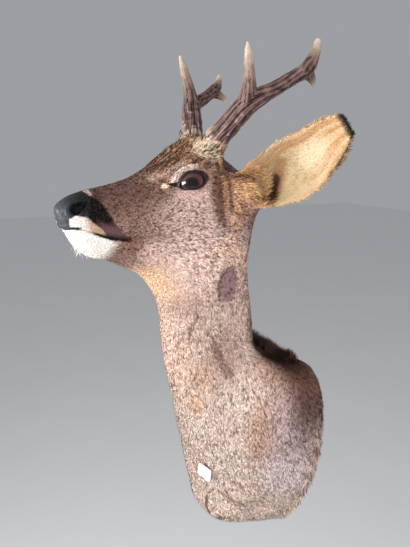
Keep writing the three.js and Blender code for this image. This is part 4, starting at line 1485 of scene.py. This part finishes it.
sheet = bmesh.new()
bmesh.ops.create_grid(sheet, x_segments=24, y_segments=16, size=0.5)
for vertex in sheet.verts:
    x, z = vertex.co.x * LABEL_SIZE[0], vertex.co.y * LABEL_SIZE[1]
    over_x, over_z = (max(abs(v) - (size / 2 - LABEL_CORNER), 0) for v, size in zip((x, z), LABEL_SIZE))
    trim = 0.7 * max(math.hypot(over_x, over_z) - LABEL_CORNER, 0)
    x, z = x - math.copysign(trim, x), z - math.copysign(trim, z)
    curl = 0.9 * (x / 12.5) ** 2 * (1 if x > 0 else 0.4) + 0.25 * math.sin(z * 0.5 + x * 0.2)
    vertex.co = Vector((x, -curl - 0.5, z)) * MM
bmesh.ops.recalc_face_normals(sheet, faces=sheet.faces)
bmesh.ops.solidify(sheet, geom=sheet.faces[:], thickness=LABEL_THICKNESS * MM)
label_place = Matrix.Translation(Vector(LABEL_CENTRE) * MM)
for turn, axis in zip(LABEL_TURN, "XYZ"):
    label_place = label_place @ Matrix.Rotation(turn, 4, axis)
bmesh.ops.transform(sheet, verts=sheet.verts, matrix=label_place)
label_mesh = finished(sheet, "paper_sticker")
shade_smooth(label_mesh)

paper = Shader("label_paper", Specular_IOR_Level=0.3)
pulp = paper.noise(900, 4, 0.6)
white = paper.mix(pulp.ramp(0.3, 0.7), (0.74, 0.75, 0.75), (0.82, 0.82, 0.82))
creases = paper.bump(pulp, 0.0002, 0.4)
label_finish = paper.finish(Base_Color=white, Roughness=0.5 + pulp * 0.2, Normal=creases)
add_piece(label_mesh, "paper_sticker", label_finish, "label_paper", "paper_label")
print("sticker, mm:", LABEL_SIZE)

# %% Board and hanger
wood = Shader("board_wood", Specular_IOR_Level=0.35)
along_grain = wood.stretched(1, 1, 0.09)
plank = wood.noise(60, 6, 0.6, at=along_grain)
fibre = wood.noise(700, 4, 0.6, at=along_grain)
wood_colour = wood.mix(plank.ramp(0.35, 0.65), (0.3, 0.19, 0.1), (0.46, 0.32, 0.19))
wood_colour = wood.mix(fibre.ramp(0.52, 0.7) * 0.6, wood_colour, (0.2, 0.12, 0.065))
wood_finish = wood.finish(Base_Color=wood_colour, Roughness=0.68 + fibre * 0.15,
                          Normal=wood.bump(plank * 0.4 + fibre * 0.6, 0.0008, 0.5))

steel = Shader("hanger_steel", Specular_IOR_Level=0.5)
scuffs = steel.noise(300, 5, 0.65)
brushed = steel.noise(1400, 3, 0.6, at=steel.stretched(0.08, 1, 1))
steel_colour = steel.mix(scuffs.ramp(0.58, 0.75), (0.52, 0.5, 0.47), (0.23, 0.13, 0.08))
steel_finish = steel.finish(Base_Color=steel_colour, Metallic=1 - scuffs.ramp(0.6, 0.8) * 0.7,
                            Roughness=0.34 + brushed * 0.2 + scuffs.ramp(0.6, 0.8) * 0.3,
                            Normal=steel.bump(brushed, 0.0003, 0.4))
for node, finish in (("backing_board", wood_finish), ("hanger_bar", steel_finish)):
    frame["nodes"][node].data.materials.clear()
    frame["nodes"][node].data.materials.append(finish)
    print(node, [round(v / MM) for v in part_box(node)[1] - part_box(node)[0]])

# %% [markdown]
# ## Floor and light
# The mount hangs in the air over a pale floor. A large soft lamp stands to the buck's right and in front, a
# second one beyond it, and a pale surround fills the shadows, as in a room with light walls.

# %% Floor, lamps and surround
FLOOR_HEIGHT = -1.6
FLOOR_REACH = 14
floor_work = bmesh.new()
bmesh.ops.create_grid(floor_work, x_segments=1, y_segments=1, size=FLOOR_REACH)
bmesh.ops.translate(floor_work, verts=floor_work.verts, vec=(0, 0, FLOOR_HEIGHT))
floor = in_scene("floor", finished(floor_work, "floor"))
pale = Shader("floor_pale", Roughness=0.8)
floor_tone = pale.mix(pale.noise(3, 3, 0.5), (0.88, 0.88, 0.88), (0.92, 0.92, 0.92))
floor.data.materials.append(pale.finish(Base_Color=floor_tone))
floor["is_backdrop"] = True


def lamp(name, place, aim, size, power, colour, in_eyes=False):
    light = bpy.data.lights.new(name, "AREA")
    light.shape = "DISK"
    light.size = size
    light.energy = power
    light.color = colour
    holder = in_scene(name, light)
    holder.location = place
    holder.visible_glossy = in_eyes
    holder.rotation_euler = (Vector(aim) - Vector(place)).to_track_quat("-Z", "Y").to_euler()


MIDDLE = (0.02, -0.08, 0.2)
lamp("key", (-0.55, -1.65, 0.3), MIDDLE, 0.42, 34, (1, 0.97, 0.93), in_eyes=True)
lamp("second", (0.9, -2.2, 1.1), MIDDLE, 2.4, 44, (1, 0.98, 0.96))
lamp("fill", (2.4, -0.5, 0.7), MIDDLE, 3.2, 60, (0.98, 0.99, 1))
world = bpy.data.worlds.new("surround")
world.use_nodes = True
world.node_tree.nodes["Background"].inputs["Color"].default_value = (0.335, 0.345, 0.36, 1)
bpy.context.scene.world = world
bpy.context.scene.view_settings.view_transform = "Standard"

# %% Measure and finish
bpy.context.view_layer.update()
for name, box in (("CAD", cad_box), ("model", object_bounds())):
    print(name, "box, m:", [[round(v, 4) for v in corner] for corner in box])
